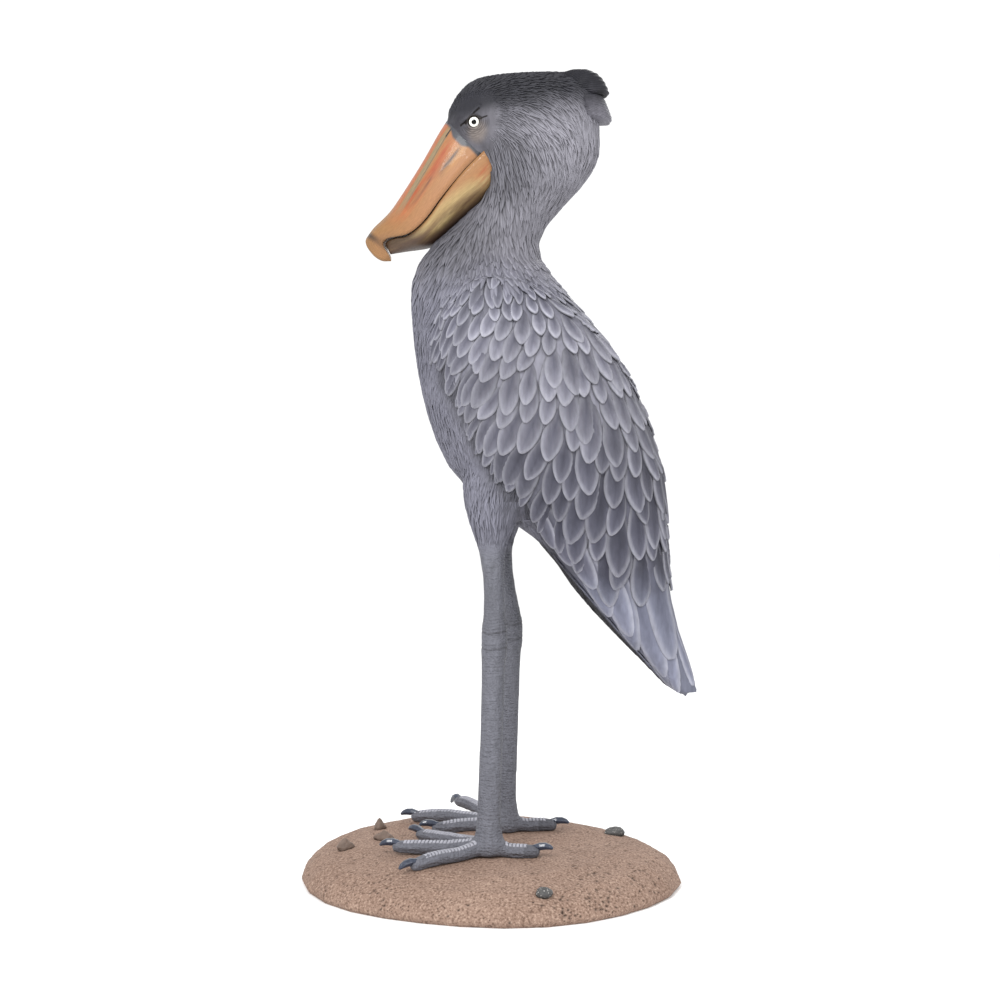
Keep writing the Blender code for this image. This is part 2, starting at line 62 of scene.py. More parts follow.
# Room: a white studio sweep, a large soft key light on the camera's side, a weaker one toward the bird's
# tail and one on its far side. The camera stands level with the statue's middle, on its left side and a
# little behind it.
scene = bpy.context.scene
scene.view_settings.view_transform = "Standard"
CAMERA_PLACE = (0.3577, -2.1729, 0.5635)
CAMERA_YAW = math.radians(9)
CAMERA_LENS = 53.406
PAPER_WHITE = (0.95, 0.95, 0.95, 1)
PAPER_SIZE = 30
ROOM_LIGHT = 1.08
camera_data = bpy.data.cameras.new("camera")
camera_data.lens = CAMERA_LENS
camera_data.sensor_width = 36
camera = bpy.data.objects.new("camera", camera_data)
camera.location = CAMERA_PLACE
camera.rotation_euler = (math.radians(90), 0, CAMERA_YAW)
scene.collection.objects.link(camera)
scene.camera = camera


def soft_light(name, place, target, size, power):
    lamp = bpy.data.lights.new(name, "AREA")
    lamp.size = size
    lamp.energy = power
    holder = bpy.data.objects.new(name, lamp)
    holder.location = place
    holder.rotation_euler = (Vector(target) - Vector(place)).to_track_quat("-Z", "Y").to_euler()
    scene.collection.objects.link(holder)


soft_light("key_light", place=(-0.8, -2.7, 2.6), target=(0, 0, 0.7), size=1.0, power=88)
soft_light("fill_light", place=(1.9, -2.0, 1.3), target=(0, 0, 0.6), size=1.4, power=22)
soft_light("back_light", place=(0.6, 2.2, 2.2), target=(0, 0, 0.7), size=1.5, power=18)

world = bpy.data.worlds.new("studio")
world.use_nodes = True
sky = world.node_tree.nodes["Background"]
sky.inputs["Color"].default_value = (1, 1, 1, 1)
sky.inputs["Strength"].default_value = ROOM_LIGHT
scene.world = world

bpy.ops.mesh.primitive_plane_add(size=PAPER_SIZE)
floor = bpy.context.object
floor.name = "floor"
floor_paper = bpy.data.materials.new("floor_paper")
floor_paper.use_nodes = True
paper = floor_paper.node_tree.nodes["Principled BSDF"]
paper.inputs["Base Color"].default_value = PAPER_WHITE
paper.inputs["Roughness"].default_value = 0.9
floor.data.materials.append(floor_paper)
floor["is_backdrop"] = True

# Skin: the cast surface of the whole bird under its carved feathers, from the head to the toes.
# It is one closed shell over all the solids of flesh. Under the feathers it lies below their outline by
# the depth of the carving, and on the face, legs and feet it is the surface that shows.
MM = 0.001
BARE_NODES = ("bill", "claw", "crest", "eye", "sand", "stone")
flesh = [name for name in sorted(nodes) if not name.startswith(BARE_NODES)]
SEAM_FILL = 0.6 * MM
SKIN_CELL = 3.9 * MM
SKIN_SMOOTHING = 5
EYE_PLACE = Vector((-16.5, 48.8, 1112.4)) * MM
EYE_RADIUS = 9.2 * MM


def shell_over(names, cell, fill, smoothing, name):
    """One closed mesh over several solids, with their fitting gaps filled."""
    shape = bmesh.new()
    for solid in names:
        part = nodes[solid].data.copy()
        normals = [v.normal.copy() for v in part.vertices]
        for vertex, normal in zip(part.vertices, normals):
            vertex.co += normal * fill
        shape.from_mesh(part)
        bpy.data.meshes.remove(part)
    bmesh.ops.remove_doubles(shape, verts=shape.verts, dist=1e-7)
    mesh = bpy.data.meshes.new(name)
    shape.to_mesh(mesh)
    shape.free()
    made = bpy.data.objects.new(name, mesh)
    scene.collection.objects.link(made)
    remesh = made.modifiers.new("shell", "REMESH")
    remesh.mode = "VOXEL"
    remesh.voxel_size = cell
    remesh.use_smooth_shade = True
    smooth = made.modifiers.new("smooth", "SMOOTH")
    smooth.factor = 0.5
    smooth.iterations = smoothing
    bpy.context.view_layer.update()
    evaluated = made.evaluated_get(bpy.context.evaluated_depsgraph_get())
    finished = bpy.data.meshes.new_from_object(evaluated)
    made.modifiers.clear()
    made.data = finished
    bpy.data.meshes.remove(mesh)
    made.data.name = name
    return made


def points_of(target):
    """The places of a mesh's points, and their normals."""
    places = np.empty(len(target.data.vertices) * 3)
    target.data.vertices.foreach_get("co", places)
    return places.reshape(-1, 3), np.array([v.normal for v in target.data.vertices])


def move_points(target, places):
    target.data.vertices.foreach_set("co", places.ravel())
    target.data.update()


def bump_over(distances, width):
    """A smooth bump, 1 where the distance is 0 and fading out over a width."""
    return np.exp(-((distances / width) ** 2))


skin = shell_over(flesh + ["eye_left", "eye_right"], SKIN_CELL, SEAM_FILL, SKIN_SMOOTHING, "skin")

# An unwrap of the shell's own shape, on the map named OFBake
skin.data.uv_layers.new(name="OFBake")
bpy.context.view_layer.objects.active = skin
skin.select_set(True)
bpy.ops.object.mode_set(mode="EDIT")
bpy.ops.mesh.select_all(action="SELECT")
bpy.ops.uv.smart_project(angle_limit=math.radians(66), island_margin=0.002)
bpy.ops.object.mode_set(mode="OBJECT")
skin.select_set(False)

# The forehead swells a little over the solids, in the middle above the bill
FOREHEAD = np.array((-55, 0, 1134)) * MM
FOREHEAD_SWELL = 2.6 * MM
FOREHEAD_REACH = 24 * MM
skin_points, skin_normals = points_of(skin)
swell = FOREHEAD_SWELL * np.exp(-(((skin_points - FOREHEAD) ** 2).sum(1) / FOREHEAD_REACH**2))
move_points(skin, skin_points + skin_normals * swell[:, None])

# The outline of the bird, which the feathers are laid on, and each face's place on the unwrap
outline = BVHTree.FromPolygons([v.co for v in skin.data.vertices], [p.vertices for p in skin.data.polygons])
outline_middles = [p.center.copy() for p in skin.data.polygons]
map_places = np.empty(len(skin.data.loops) * 2)
skin.data.uv_layers["OFBake"].data.foreach_get("uv", map_places)
map_places = map_places.reshape(-1, 2)
face_places = [map_places[p.loop_start] for p in skin.data.polygons]

# The toes stand out from the skin's coarse shell, so it is cut finer there, at the ankles and on the face.
# Each toe is its hub across and along the bird, its turn from straight ahead in degrees, and its length.
TOES = [(-77, 10, -2, 140), (-77, 10, -42, 128), (-77, 10, 34, 147), (-77, 10, 182, 73)]
TOES += [(77, 11, 14, 161), (77, 11, 50, 154), (77, 11, -16, 114), (77, 11, 169, 77)]
TOE_END_BACK = 16
TOE_END_REACH = 0.026
FOOT_TOP = 0.1
ANKLE_LOW, ANKLE_HIGH = 0.335, 0.412
LEG_REACH = 0.062
HEAD_LOW, HEAD_BACK = 1.0, 0.05
FAR_OFF = 1.0


def toe_line(hub_y, hub_x, turn):
    """The hub of a toe, and the way it points."""
    turn = math.radians(turn)
    return Vector((hub_x, hub_y, 0)) * MM, Vector((-math.cos(turn), math.sin(turn), 0))


toe_ends = []
for hub_y, hub_x, turn, length in TOES:
    hub, ahead = toe_line(hub_y, hub_x, turn)
    toe_ends.append(hub + ahead * (length - TOE_END_BACK) * MM)


def surface_of(names):
    shape = bmesh.new()
    for name in names:
        shape.from_mesh(nodes[name].data)
    return BVHTree.FromBMesh(shape)


toe_surface = surface_of([name for name in flesh if name.startswith("toe")])
bill_surface = surface_of(["bill_upper", "bill_lower"])


def at_toe_end(point):
    flat = Vector((point.x, point.y, 0))
    return point.z < FOOT_TOP and min((flat - end).length for end in toe_ends) < TOE_END_REACH


def at_ankles(point):
    return ANKLE_LOW < point.z < ANKLE_HIGH and point.x < LEG_REACH


def near_eye(point, reach):
    return (Vector((point.x, abs(point.y), point.z)) - EYE_PLACE).length < reach


def bill_gap(point):
    """Distance to the bill's surface, or a large one where it is far off."""
    if point.z < HEAD_LOW or point.x > HEAD_BACK:
        return FAR_OFF
    return bill_surface.find_nearest(point)[3]


def refine(target, wanted):
    """Cuts each face of a shell that lies in the wanted place into four."""
    shape = bmesh.new()
    shape.from_mesh(target.data)
    chosen = [edge for edge in shape.edges if wanted((edge.verts[0].co + edge.verts[1].co) / 2)]
    bmesh.ops.subdivide_edges(shape, edges=chosen, cuts=1, use_grid_fill=True, smooth=0.5)
    shape.to_mesh(target.data)
    shape.free()
    target.data.update()


def coarse_place(point):
    return near_eye(point, 0.048) or bill_gap(point) < 0.007


def middling_place(point):
    on_head = near_eye(point, 0.034) or bill_gap(point) < 0.0045
    return on_head or at_ankles(point) or at_toe_end(point)


def fine_place(point):
    return near_eye(point, 0.025)


for wanted in (coarse_place, middling_place, fine_place):
    refine(skin, wanted)


def from_table(table, value):
    """A value read off a table of rows that each give a place and the value there."""
    table = sorted(table)
    return np.interp(value, [row[0] for row in table], [row[1] for row in table])


# Depth of the carving over the skin at each height, in millimetres, and none on the face, legs and feet
COAT_DEPTH = [(1.20, 2.0), (1.05, 2.2), (0.95, 3.0), (0.86, 4.0), (0.50, 4.0), (0.36, 3.4), (0.30, 2.0)]
COAT_DEPTH += [(0.27, 1.2)]
THIGH_DEPTH = [(1.20, 2.4), (0.515, 2.4), (0.475, 0.0), (0.0, 0.0)]
THIGH_TOP = 0.56
FACE_DEPTH = 0.1
FACE_REACH, FACE_FADE = 0.055, 0.03
FACE_BACK, FACE_BACK_FADE = 0.03, 0.02
FACE_LOW = 1.06
skin_points, skin_normals = points_of(skin)
x, y, z = skin_points.T
on_leg = (z < THIGH_TOP) & (x < LEG_REACH)
depth = np.where(on_leg, from_table(THIGH_DEPTH, z), from_table(COAT_DEPTH, z))
eye_distance = np.sqrt((x - EYE_PLACE.x) ** 2 + (z - EYE_PLACE.z) ** 2)
bareness = np.clip((FACE_REACH - eye_distance) / FACE_FADE, 0, 1) * (z > FACE_LOW)
bareness *= np.clip((FACE_BACK - x) / FACE_BACK_FADE, 0, 1)
depth = depth * (1 - bareness) + FACE_DEPTH * bareness
skin_points = skin_points - skin_normals * depth[:, None] * MM

# The toe ends close up to the claws, and the skin draws in at the corners of the gape
TOE_CLOSING = 5 * MM
TOE_SKIN = 0.3 * MM
GAPE_END = np.array((1.7, 46, 1076.7)) * MM
GAPE_PRESS = 4.2 * MM
GAPE_WIDTH = 11 * MM
for index in np.flatnonzero(z < FOOT_TOP):
    if at_toe_end(Vector(skin_points[index])):
        spot, normal, _, away = toe_surface.find_nearest(Vector(skin_points[index]))
        if away < TOE_CLOSING:
            skin_points[index] = spot + normal * TOE_SKIN
one_side = np.stack([skin_points[:, 0], np.abs(skin_points[:, 1]), skin_points[:, 2]], axis=1)
from_gape = np.linalg.norm(one_side - GAPE_END, axis=1)
skin_points[:, 1] -= np.sign(skin_points[:, 1]) * GAPE_PRESS * bump_over(from_gape, GAPE_WIDTH)

# Lids, brow and wrinkles: pressed into the face round each eye, which sits in a round opening of the skin.
# A crease is a line of places beside the eye in side view, in millimetres, with its depth and width.
EYE_OPENING = 7.7
LID_EDGE = 8.6
LID_FOOT = 13.0
LID_HEIGHT = 1.0
LID_BACK = 2.5
EYE_REGION = 40
CREASES = [
    ([(-20.5, -3.6), (-12, 1.5), (-7.6, 5.2), (-1.4, 10.2), (1.4, 13.3), (8.1, 18.5)], 2.0, 1.0),
    ([(-13, 0), (-8, 2.5), (-5.5, 7)], 1.2, 2.0),
    ([(1.5, 9.6), (7.6, 6.9), (12.6, 4.2), (20, 6.1)], 1.6, 0.9),
    ([(7.0, 4.0), (11.5, 3.6)], 1.0, 1.7),
    ([(-12, -1.0), (-9.5, 0.5)], 0.9, 2.2),
]
BROW = ([(-20, 1.5), (-9, 8.5), (-1, 14.5), (8, 22)], -2.2, 3.2)
UNDER_EYE_RINGS = [12.2, 15.0, 18.0, 21.2, 24.5, 28]
RING_DEPTH = 0.816
RING_WIDTH = 0.85
RING_WAVER = 0.5
RINGS_FROM, RINGS_FADE = 12, 11
RINGS_SLANT, RINGS_SOFT = 0.25, 6
RING_PAINT = 0.45
LASH_LINE, LASH_WIDTH = 8.2, 0.9


def distance_to_line(places, line):
    """Distance of places to a line of straight stretches, in a plane."""
    best = np.full(len(places), 1e9)
    for start, end in zip(line, line[1:]):
        start, along = np.array(start), np.array(end) - np.array(start)
        share = np.clip((places - start) @ along / (along @ along), 0, 1)
        best = np.minimum(best, np.linalg.norm(places - start - share[:, None] * along, axis=1))
    return best


eye_x, eye_y, eye_z = EYE_PLACE / MM
eye_ball = EYE_RADIUS / MM
beside_eye = np.stack([skin_points[:, 0] / MM - eye_x, skin_points[:, 2] / MM - eye_z], axis=1)
radius = np.linalg.norm(beside_eye, axis=1)
around_eye = (radius < EYE_REGION) & (np.abs(skin_points[:, 1]) > 0.03)
press = np.zeros(len(skin_points))
crease_paint = np.zeros(len(skin_points))
for line, how_deep, how_wide in CREASES + [BROW]:
    fall = bump_over(distance_to_line(beside_eye, line), how_wide)
    press += how_deep * fall
    crease_paint = np.maximum(crease_paint, fall if how_deep > 0 else 0)
below_eye = np.clip((RINGS_SLANT * beside_eye[:, 0] - beside_eye[:, 1]) / RINGS_SOFT, 0, 1)
below_eye *= bump_over(radius - RINGS_FROM, RINGS_FADE)
for ring in UNDER_EYE_RINGS:
    wavy = ring + RING_WAVER * np.sin(beside_eye[:, 0] * 0.5 + ring)
    fall = bump_over(radius - wavy, RING_WIDTH) * below_eye
    press += RING_DEPTH * fall
    crease_paint = np.maximum(crease_paint, RING_PAINT * fall)

# Across the bird: the ball's own level inside the opening, then the lid's edge, then down to the face
side_way = np.sign(skin_points[:, 1])
level = np.abs(skin_points[:, 1]) / MM - press * around_eye
ball = eye_y + np.sqrt(np.clip(eye_ball**2 - radius**2, 0, None))
lid = eye_y + math.sqrt(eye_ball**2 - EYE_OPENING**2) + LID_HEIGHT
inside = np.clip((radius - EYE_OPENING) / (LID_EDGE - EYE_OPENING), 0, 1)
outside = np.clip((radius - LID_EDGE) / (LID_FOOT - LID_EDGE), 0, 1)
outside = outside * outside * (3 - 2 * outside)
shaped = (ball - LID_BACK) * (1 - inside) + lid * inside
shaped = np.where(radius < LID_EDGE, shaped, lid * (1 - outside) + level * outside)
shaped = side_way * np.where(radius < LID_FOOT, shaped, level) * MM
skin_points[:, 1] = np.where(around_eye, shaped, skin_points[:, 1])
crease_paint = np.maximum(crease_paint, bump_over(radius - LASH_LINE, LASH_WIDTH)) * around_eye

# Folds of the ankles: two deep ones and fine wrinkles above them, running round the leg.
# Each fold is its height, and its depth and width in millimetres.
ANKLE_FOLDS = [(0.3745, 1.2, 1.2), (0.3514, 1.0, 1.2), (0.3800, 0.7, 1.0), (0.3846, 0.6, 1.0)]
ANKLE_FOLDS += [(0.3892, 0.55, 1.0), (0.3938, 0.45, 1.0), (0.3984, 0.35, 0.9), (0.4030, 0.25, 0.9)]
ANKLE_FOLDS += [(0.3690, 0.4, 0.9), (0.3576, 0.5, 0.9)]
FOLD_PAINT = 0.42
x, y, z = skin_points.T
at_ankle = (z > ANKLE_LOW) & (z < ANKLE_HIGH) & (x < LEG_REACH)
waver = 1.1 * MM * np.sin(x * 190 + np.abs(y) * 60) + 0.6 * MM * np.sin(y * 320)
fold = np.zeros(len(z))
for height, how_deep, how_wide in ANKLE_FOLDS:
    fall = bump_over(z - height + waver, how_wide * MM) * at_ankle
    fold += how_deep * fall
    crease_paint = np.maximum(crease_paint, FOLD_PAINT * how_deep * fall)
skin_points = skin_points - skin_normals * fold[:, None] * MM
move_points(skin, skin_points)


# Paint of the plumage and the bare legs: one scheme for skin and carved feathers, told by the place on the
# bird. It is brushed on in matt greys, darker on the crown, and the feathers' rims are brushed paler over
# their darker middles. The creases of the face and ankles hold a dark wash. Painted shade darkens the strip
# under the tail, the legs behind and between them, the places behind the jaw and on the throat, and the
# feathers' sunk roots.
class Paint:
    """A painted finish: a shader group that puts out a colour and a relief for each place on a piece."""

    def __init__(self, name):
        self.tree = bpy.data.node_groups.new(name, "ShaderNodeTree")
        self.tree.interface.new_socket("Color", in_out="OUTPUT", socket_type="NodeSocketColor")
        self.tree.interface.new_socket("Height", in_out="OUTPUT", socket_type="NodeSocketFloat")
        self.out = self.tree.nodes.new("NodeGroupOutput")

    def put(self, value, socket):
        """Puts a number, a colour or another node's output on a socket."""
        if isinstance(value, bpy.types.NodeSocket):
            self.tree.links.new(value, socket)
        else:
            socket.default_value = value

    def deliver(self, colour, relief):
        self.put(colour, self.out.inputs["Color"])
        self.put(relief, self.out.inputs["Height"])

    def place(self):
        return self.tree.nodes.new("ShaderNodeTexCoord").outputs["Object"]

    def attribute(self, name):
        node = self.tree.nodes.new("ShaderNodeAttribute")
        node.attribute_name = name
        return node.outputs["Fac"]

    def calc(self, operation, first, second=0.5, clamp=False):
        node = self.tree.nodes.new("ShaderNodeMath")
        node.operation = operation
        node.use_clamp = clamp
        self.put(first, node.inputs[0])
        self.put(second, node.inputs[1])
        return node.outputs[0]

    def times(self, first, second, clamp=False):
        return self.calc("MULTIPLY", first, second, clamp)

    def scaled(self, value, factor, plus):
        node = self.calc("MULTIPLY_ADD", value, factor).node
        node.inputs[2].default_value = plus
        return node.outputs[0]

    def fade(self, value, low, high):
        """0 below low and 1 above high, or the other way round where low is the larger."""
        node = self.tree.nodes.new("ShaderNodeMapRange")
        node.interpolation_type = "SMOOTHSTEP"
        self.put(value, node.inputs["Value"])
        node.inputs["From Min"].default_value = low
        node.inputs["From Max"].default_value = high
        return node.outputs["Result"]

    def band(self, value, low, high, soft):
        """1 between two values, fading over a soft edge on both sides."""
        rising = self.fade(value, low - soft, low + soft)
        return self.times(rising, self.fade(value, high + soft, high - soft))

    def blend(self, share, first, second, way="MIX"):
        node = self.tree.nodes.new("ShaderNodeMix")
        node.data_type = "RGBA"
        node.blend_type = way
        self.put(share, node.inputs["Factor"])
        self.put(first, node.inputs["A"])
        self.put(second, node.inputs["B"])
        return node.outputs["Result"]

    def shaded(self, paint, shade):
        """The paint made darker or lighter by a value round 1."""
        tint = self.tree.nodes.new("ShaderNodeCombineColor")
        for channel in tint.inputs:
            self.put(shade, channel)
        return self.blend(1.0, paint, tint.outputs[0], "MULTIPLY")

    def combined(self, x, y, z):
        node = self.tree.nodes.new("ShaderNodeCombineXYZ")
        for value, socket in zip((x, y, z), node.inputs):
            self.put(value, socket)
        return node.outputs[0]

    def near(self, place, spot, inner, outer):
        """1 near a spot, fading to 0 at the outer distance."""
        node = self.tree.nodes.new("ShaderNodeVectorMath")
        node.operation = "DISTANCE"
        self.put(place, node.inputs[0])
        node.inputs[1].default_value = spot
        return self.fade(node.outputs["Value"], outer, inner)

    def speckle(self, place, scale, detail=3.0, stretch=None):
        """Soft cloudy noise at a place, finer with a larger scale."""
        if stretch:
            node = self.tree.nodes.new("ShaderNodeVectorMath")
            node.operation = "MULTIPLY"
            self.put(place, node.inputs[0])
            node.inputs[1].default_value = stretch
            place = node.outputs[0]
        node = self.tree.nodes.new("ShaderNodeTexNoise")
        node.inputs["Scale"].default_value = scale
        node.inputs["Detail"].default_value = detail
        self.put(place, node.inputs["Vector"])
        return node.outputs["Fac"]

    def pebbled(self, place, scale):
        """Distance to the middle of the nearest of many small cells."""
        node = self.tree.nodes.new("ShaderNodeTexVoronoi")
        node.inputs["Scale"].default_value = scale
        self.put(place, node.inputs["Vector"])
        return node.outputs["Distance"]

    def finish(self, name, roughness, bump, distance, coat=0.0, gloss=0.3):
        """A material that takes its colour and relief from the paint."""
        made = bpy.data.materials.new(name)
        made.use_nodes = True
        tree = made.node_tree
        shader = tree.nodes["Principled BSDF"]
        shader.inputs["Roughness"].default_value = roughness
        shader.inputs["Coat Weight"].default_value = coat
        shader.inputs["Specular IOR Level"].default_value = gloss
        held = tree.nodes.new("ShaderNodeGroup")
        held.node_tree = self.tree
        tree.links.new(held.outputs["Color"], shader.inputs["Base Color"])
        relief = tree.nodes.new("ShaderNodeBump")
        relief.inputs["Strength"].default_value = bump
        relief.inputs["Distance"].default_value = distance
        tree.links.new(held.outputs["Height"], relief.inputs["Height"])
        tree.links.new(relief.outputs["Normal"], shader.inputs["Normal"])
        return made


BREAST = (0.1267, 0.126, 0.1594, 1)
NECK = (0.1518, 0.1472, 0.1702, 1)
CHEEK = (0.1786, 0.1729, 0.1997, 1)
CROWN = (0.0084, 0.0084, 0.0135, 1)
LORE = (0.1115, 0.1067, 0.1237, 1)
UNDER_EYE = (0.2128, 0.1801, 0.1651, 1)
WING_LOW = (0.0967, 0.0967, 0.1301, 1)
PRIMARY = (0.1474, 0.1543, 0.2054, 1)
WING_PALE = (0.2365, 0.2343, 0.2797, 1)
FEATHER_SHADOW = (0.42, 0.42, 0.43, 1)
# Painted shade for the strip under the tail
UNDERTAIL_SHADE = (0.018, 0.018, 0.022, 1)
LEG_GREY = (0.116, 0.118, 0.139, 1)
FEATHER_CORE = (0.456, 0.456, 0.504, 1)
FEATHER_RIM = (0.341, 0.341, 0.385, 1)
CREASE_BROWN = (0.012, 0.009, 0.008, 1)
BARB_PITCH = 2.2 * MM
UNDERTAIL_SLOPE = 0.85
UNDERTAIL_FOOT = 0.511

# Neck, cheeks and wings by height, with a soft uneven border between them
plumage = Paint("plumage_paint")
place = plumage.place()
parts = plumage.tree.nodes.new("ShaderNodeSeparateXYZ")
plumage.put(place, parts.inputs[0])
px, py, pz = parts.outputs
streak = plumage.speckle(place, 210, 4, (1, 1, 0.28))
uneven = plumage.scaled(plumage.speckle(place, 26), 0.05, -0.025)
height = plumage.calc("ADD", pz, uneven)
paint = plumage.blend(plumage.fade(height, 0.84, 0.94), BREAST, NECK)
paint = plumage.blend(plumage.fade(height, 1.00, 1.06), paint, CHEEK)
pale = plumage.times(plumage.band(height, 0.65, 0.815, 0.045), plumage.fade(px, -0.066, 0.026))
paint = plumage.blend(pale, paint, WING_PALE)
low = plumage.times(plumage.fade(height, 0.66, 0.50), plumage.fade(px, 0.05, 0.13))
paint = plumage.blend(low, paint, WING_LOW)
primary = plumage.times(plumage.fade(height, 0.47, 0.42), plumage.fade(px, 0.08, 0.10))
paint = plumage.blend(primary, paint, PRIMARY)

# Painted shade: a dark strip under the tail, ahead of the wing's lower edge
edge_line = plumage.scaled(pz, -UNDERTAIL_SLOPE, UNDERTAIL_FOOT)
beyond = plumage.calc("SUBTRACT", edge_line, px)
under = plumage.times(plumage.fade(beyond, -0.002, 0.006), plumage.fade(px, 0.062, 0.08))
under = plumage.times(under, plumage.band(pz, 0.24, 0.505, 0.012))
paint = plumage.blend(under, paint, UNDERTAIL_SHADE)

# The legs, with painted shade behind, between and above the ankles
leg = plumage.times(plumage.fade(pz, 0.52, 0.47), plumage.fade(px, 0.075, 0.066))
leg = plumage.calc("MAXIMUM", leg, plumage.fade(pz, 0.25, 0.23))
paint = plumage.blend(leg, paint, LEG_GREY)
leg_rear = plumage.times(plumage.fade(px, 0.016, 0.036), 0.42)
across = plumage.calc("ABSOLUTE", py)
leg_inner = plumage.times(plumage.fade(across, 0.080, 0.062), 0.22)
shin = plumage.times(plumage.band(pz, 0.395, 0.455, 0.03), 0.25)
painted_leg_shade = plumage.calc("MAXIMUM", plumage.calc("MAXIMUM", leg_rear, leg_inner), shin)
painted_leg_shade = plumage.times(plumage.times(painted_leg_shade, leg), plumage.fade(pz, 0.07, 0.11))
paint = plumage.blend(painted_leg_shade, paint, FEATHER_SHADOW, "MULTIPLY")

# The face, the crown, and the shadows behind the jaw and on the throat
mirrored = plumage.combined(px, across, pz)
side_view = plumage.combined(px, 0, pz)
paint = plumage.blend(plumage.near(mirrored, EYE_PLACE, 0.020, 0.054), paint, LORE)
pouch = EYE_PLACE + Vector((6, 3, -14)) * MM
paint = plumage.blend(plumage.near(mirrored, pouch, 0.008, 0.022), paint, UNDER_EYE)
crown_height = plumage.calc("ADD", height, plumage.times(px, -0.16))
on_crown = plumage.fade(crown_height, 1.080, 1.144)
paint = plumage.blend(on_crown, paint, CROWN)
behind_jaw = plumage.near(side_view, (0.026, 0, 1.045), 0.022, 0.080)
paint = plumage.blend(behind_jaw, paint, FEATHER_SHADOW, "MULTIPLY")
throat = plumage.times(plumage.near(side_view, (-0.050, 0, 0.945), 0.02, 0.105), 0.95)
paint = plumage.blend(throat, paint, FEATHER_SHADOW, "MULTIPLY")

# Each feather: a dark middle, a pale rim that is weaker on the dark parts, fine barbs, and a sunk root
# darkened by painted shade
rim = plumage.attribute("rim")
paint = plumage.blend(plumage.times(rim, -1.0, True), paint, FEATHER_CORE, "MULTIPLY")
dark_parts = plumage.calc("MAXIMUM", plumage.times(on_crown, 0.65), plumage.times(under, 0.92))
rim_share = plumage.times(rim, plumage.scaled(dark_parts, -1.0, 1.0), True)
paint = plumage.blend(rim_share, paint, FEATHER_RIM)
tone = plumage.scaled(plumage.attribute("tone"), 0.16, 1.0)
shade = plumage.times(tone, plumage.scaled(streak, 0.7, 0.65))
shade = plumage.times(shade, plumage.scaled(plumage.attribute("depth"), -0.6, 1.0))
barbs = plumage.calc("SINE", plumage.times(plumage.attribute("barb"), 2 * math.pi / BARB_PITCH))
below_neck = plumage.fade(pz, 0.86, 0.70)
barb_strength = plumage.times(plumage.fade(plumage.speckle(place, 34, 2), 0.38, 0.60), below_neck)
ridge = plumage.times(barbs, plumage.times(barb_strength, 0.30))
shade = plumage.times(shade, plumage.calc("ADD", ridge, 1.0))
paint = plumage.shaded(paint, shade)
paint = plumage.blend(plumage.attribute("crease"), paint, CREASE_BROWN)

# Relief: barbs and brushed streaks on the feathers, pebbles and fine rings on the legs
pebbles = plumage.times(plumage.pebbled(place, 330), 1.2)
rings = plumage.times(plumage.speckle(place, 330, 3, (0.22, 0.22, 1)), 3.2)
grit = plumage.times(plumage.calc("ADD", pebbles, rings), plumage.times(leg, 1.6))
relief = plumage.times(barbs, plumage.times(below_neck, 0.6))
relief = plumage.calc("ADD", relief, plumage.times(streak, 0.8))
relief = plumage.calc("ADD", relief, grit)
plumage.deliver(paint, relief)
feather_paint = plumage.finish("feather_paint", roughness=0.6, bump=0.8, distance=0.9 * MM)
skin.data.materials.append(feather_paint)


def store(mesh, name, values):
    layer = mesh.attributes.new(name, "FLOAT", "POINT")
    layer.data.foreach_set("value", np.asarray(values, np.float32))


def give(target, slot, *replaced):
    """Hands a finished piece over: it rides on the root, and the solids it stands for are hidden. The
    material slot is not used.
    """
    target.data.shade_smooth()
    if replaced:
        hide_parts(*replaced)
    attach(target, "root")


# On the skin itself: a dark line where the bill meets the face below the gape, and shadow under the feathers
BILL_LINE = 1.1 * MM
GAPE_HEIGHT, GAPE_SLOPE = 1.074, -0.4
SHADOW_REACH = 13 * MM
UNCOVERED_REACH, UNCOVERED_FADE = 0.028, 0.01
COVERED_DEPTH, BARE_DEPTH = 0.45, 0.04
BARE_LEG_TOP = 0.5
CREASE_STRENGTH = 1.35
to_bill = np.array([bill_gap(Vector(point)) for point in skin_points])
below_gape = skin_points[:, 2] < GAPE_HEIGHT + GAPE_SLOPE * skin_points[:, 0]
crease_paint = np.maximum(crease_paint, 0.8 * bump_over(to_bill, BILL_LINE) * below_gape)
bare_leg = (skin_points[:, 2] < BARE_LEG_TOP) & (skin_points[:, 0] < LEG_REACH)
bare_face = BARE_DEPTH + 0.3 * bump_over(to_bill, SHADOW_REACH)
uncovered = np.clip((UNCOVERED_REACH - to_bill) / UNCOVERED_FADE, 0, 1)
uncovered = np.maximum(np.clip(bareness * 4, 0, 1), uncovered)
shadow = COVERED_DEPTH * (1 - uncovered) + bare_face * uncovered
store(skin.data, "depth", np.where(bare_leg, 0.0, shadow))
store(skin.data, "crease", np.clip(crease_paint * CREASE_STRENGTH, 0, 1))
give(skin, "feather_paint", *flesh)

# Carved feathers: each is a thin domed scale with a raised rim, a shaft line and barbs, laid on the
# outline of the body along its lie, root down and tip up, so that the next ones lap under it.
# Sizes are in millimetres. A plume with a skirt has side walls that close it down to the skin.
Plume = namedtuple("Plume", "rows columns sink rise fall dome skirt point barb wrap")
BROAD = (-1, -0.84, -0.5, 0, 0.5, 0.84, 1)
SCALE = Plume(20, BROAD, -3.8, 2.5, 0.3, 1.1, 2.6, 2.0, 0.16, True)
SMALL_SCALE = Plume(9, (-1, -0.75, -0.4, 0, 0.4, 0.75, 1), -3.0, 1.5, 0.3, 0.8, 1.6, 1.9, 0.0, True)
FLIGHT = Plume(34, BROAD, -3.8, 1.2, 0.2, 1.0, 2.2, 3.2, 0.0, True)
STRAND = Plume(7, (-1, -0.5, 0, 0.5, 1), -2.2, 0.65, 0.5, 1.2, 0.0, 1.6, 0.0, False)
SKIRT_SPREAD = 0.9 * MM
PATCH_WIDTH, PATCH_LENGTH = 0.0026, 0.0026
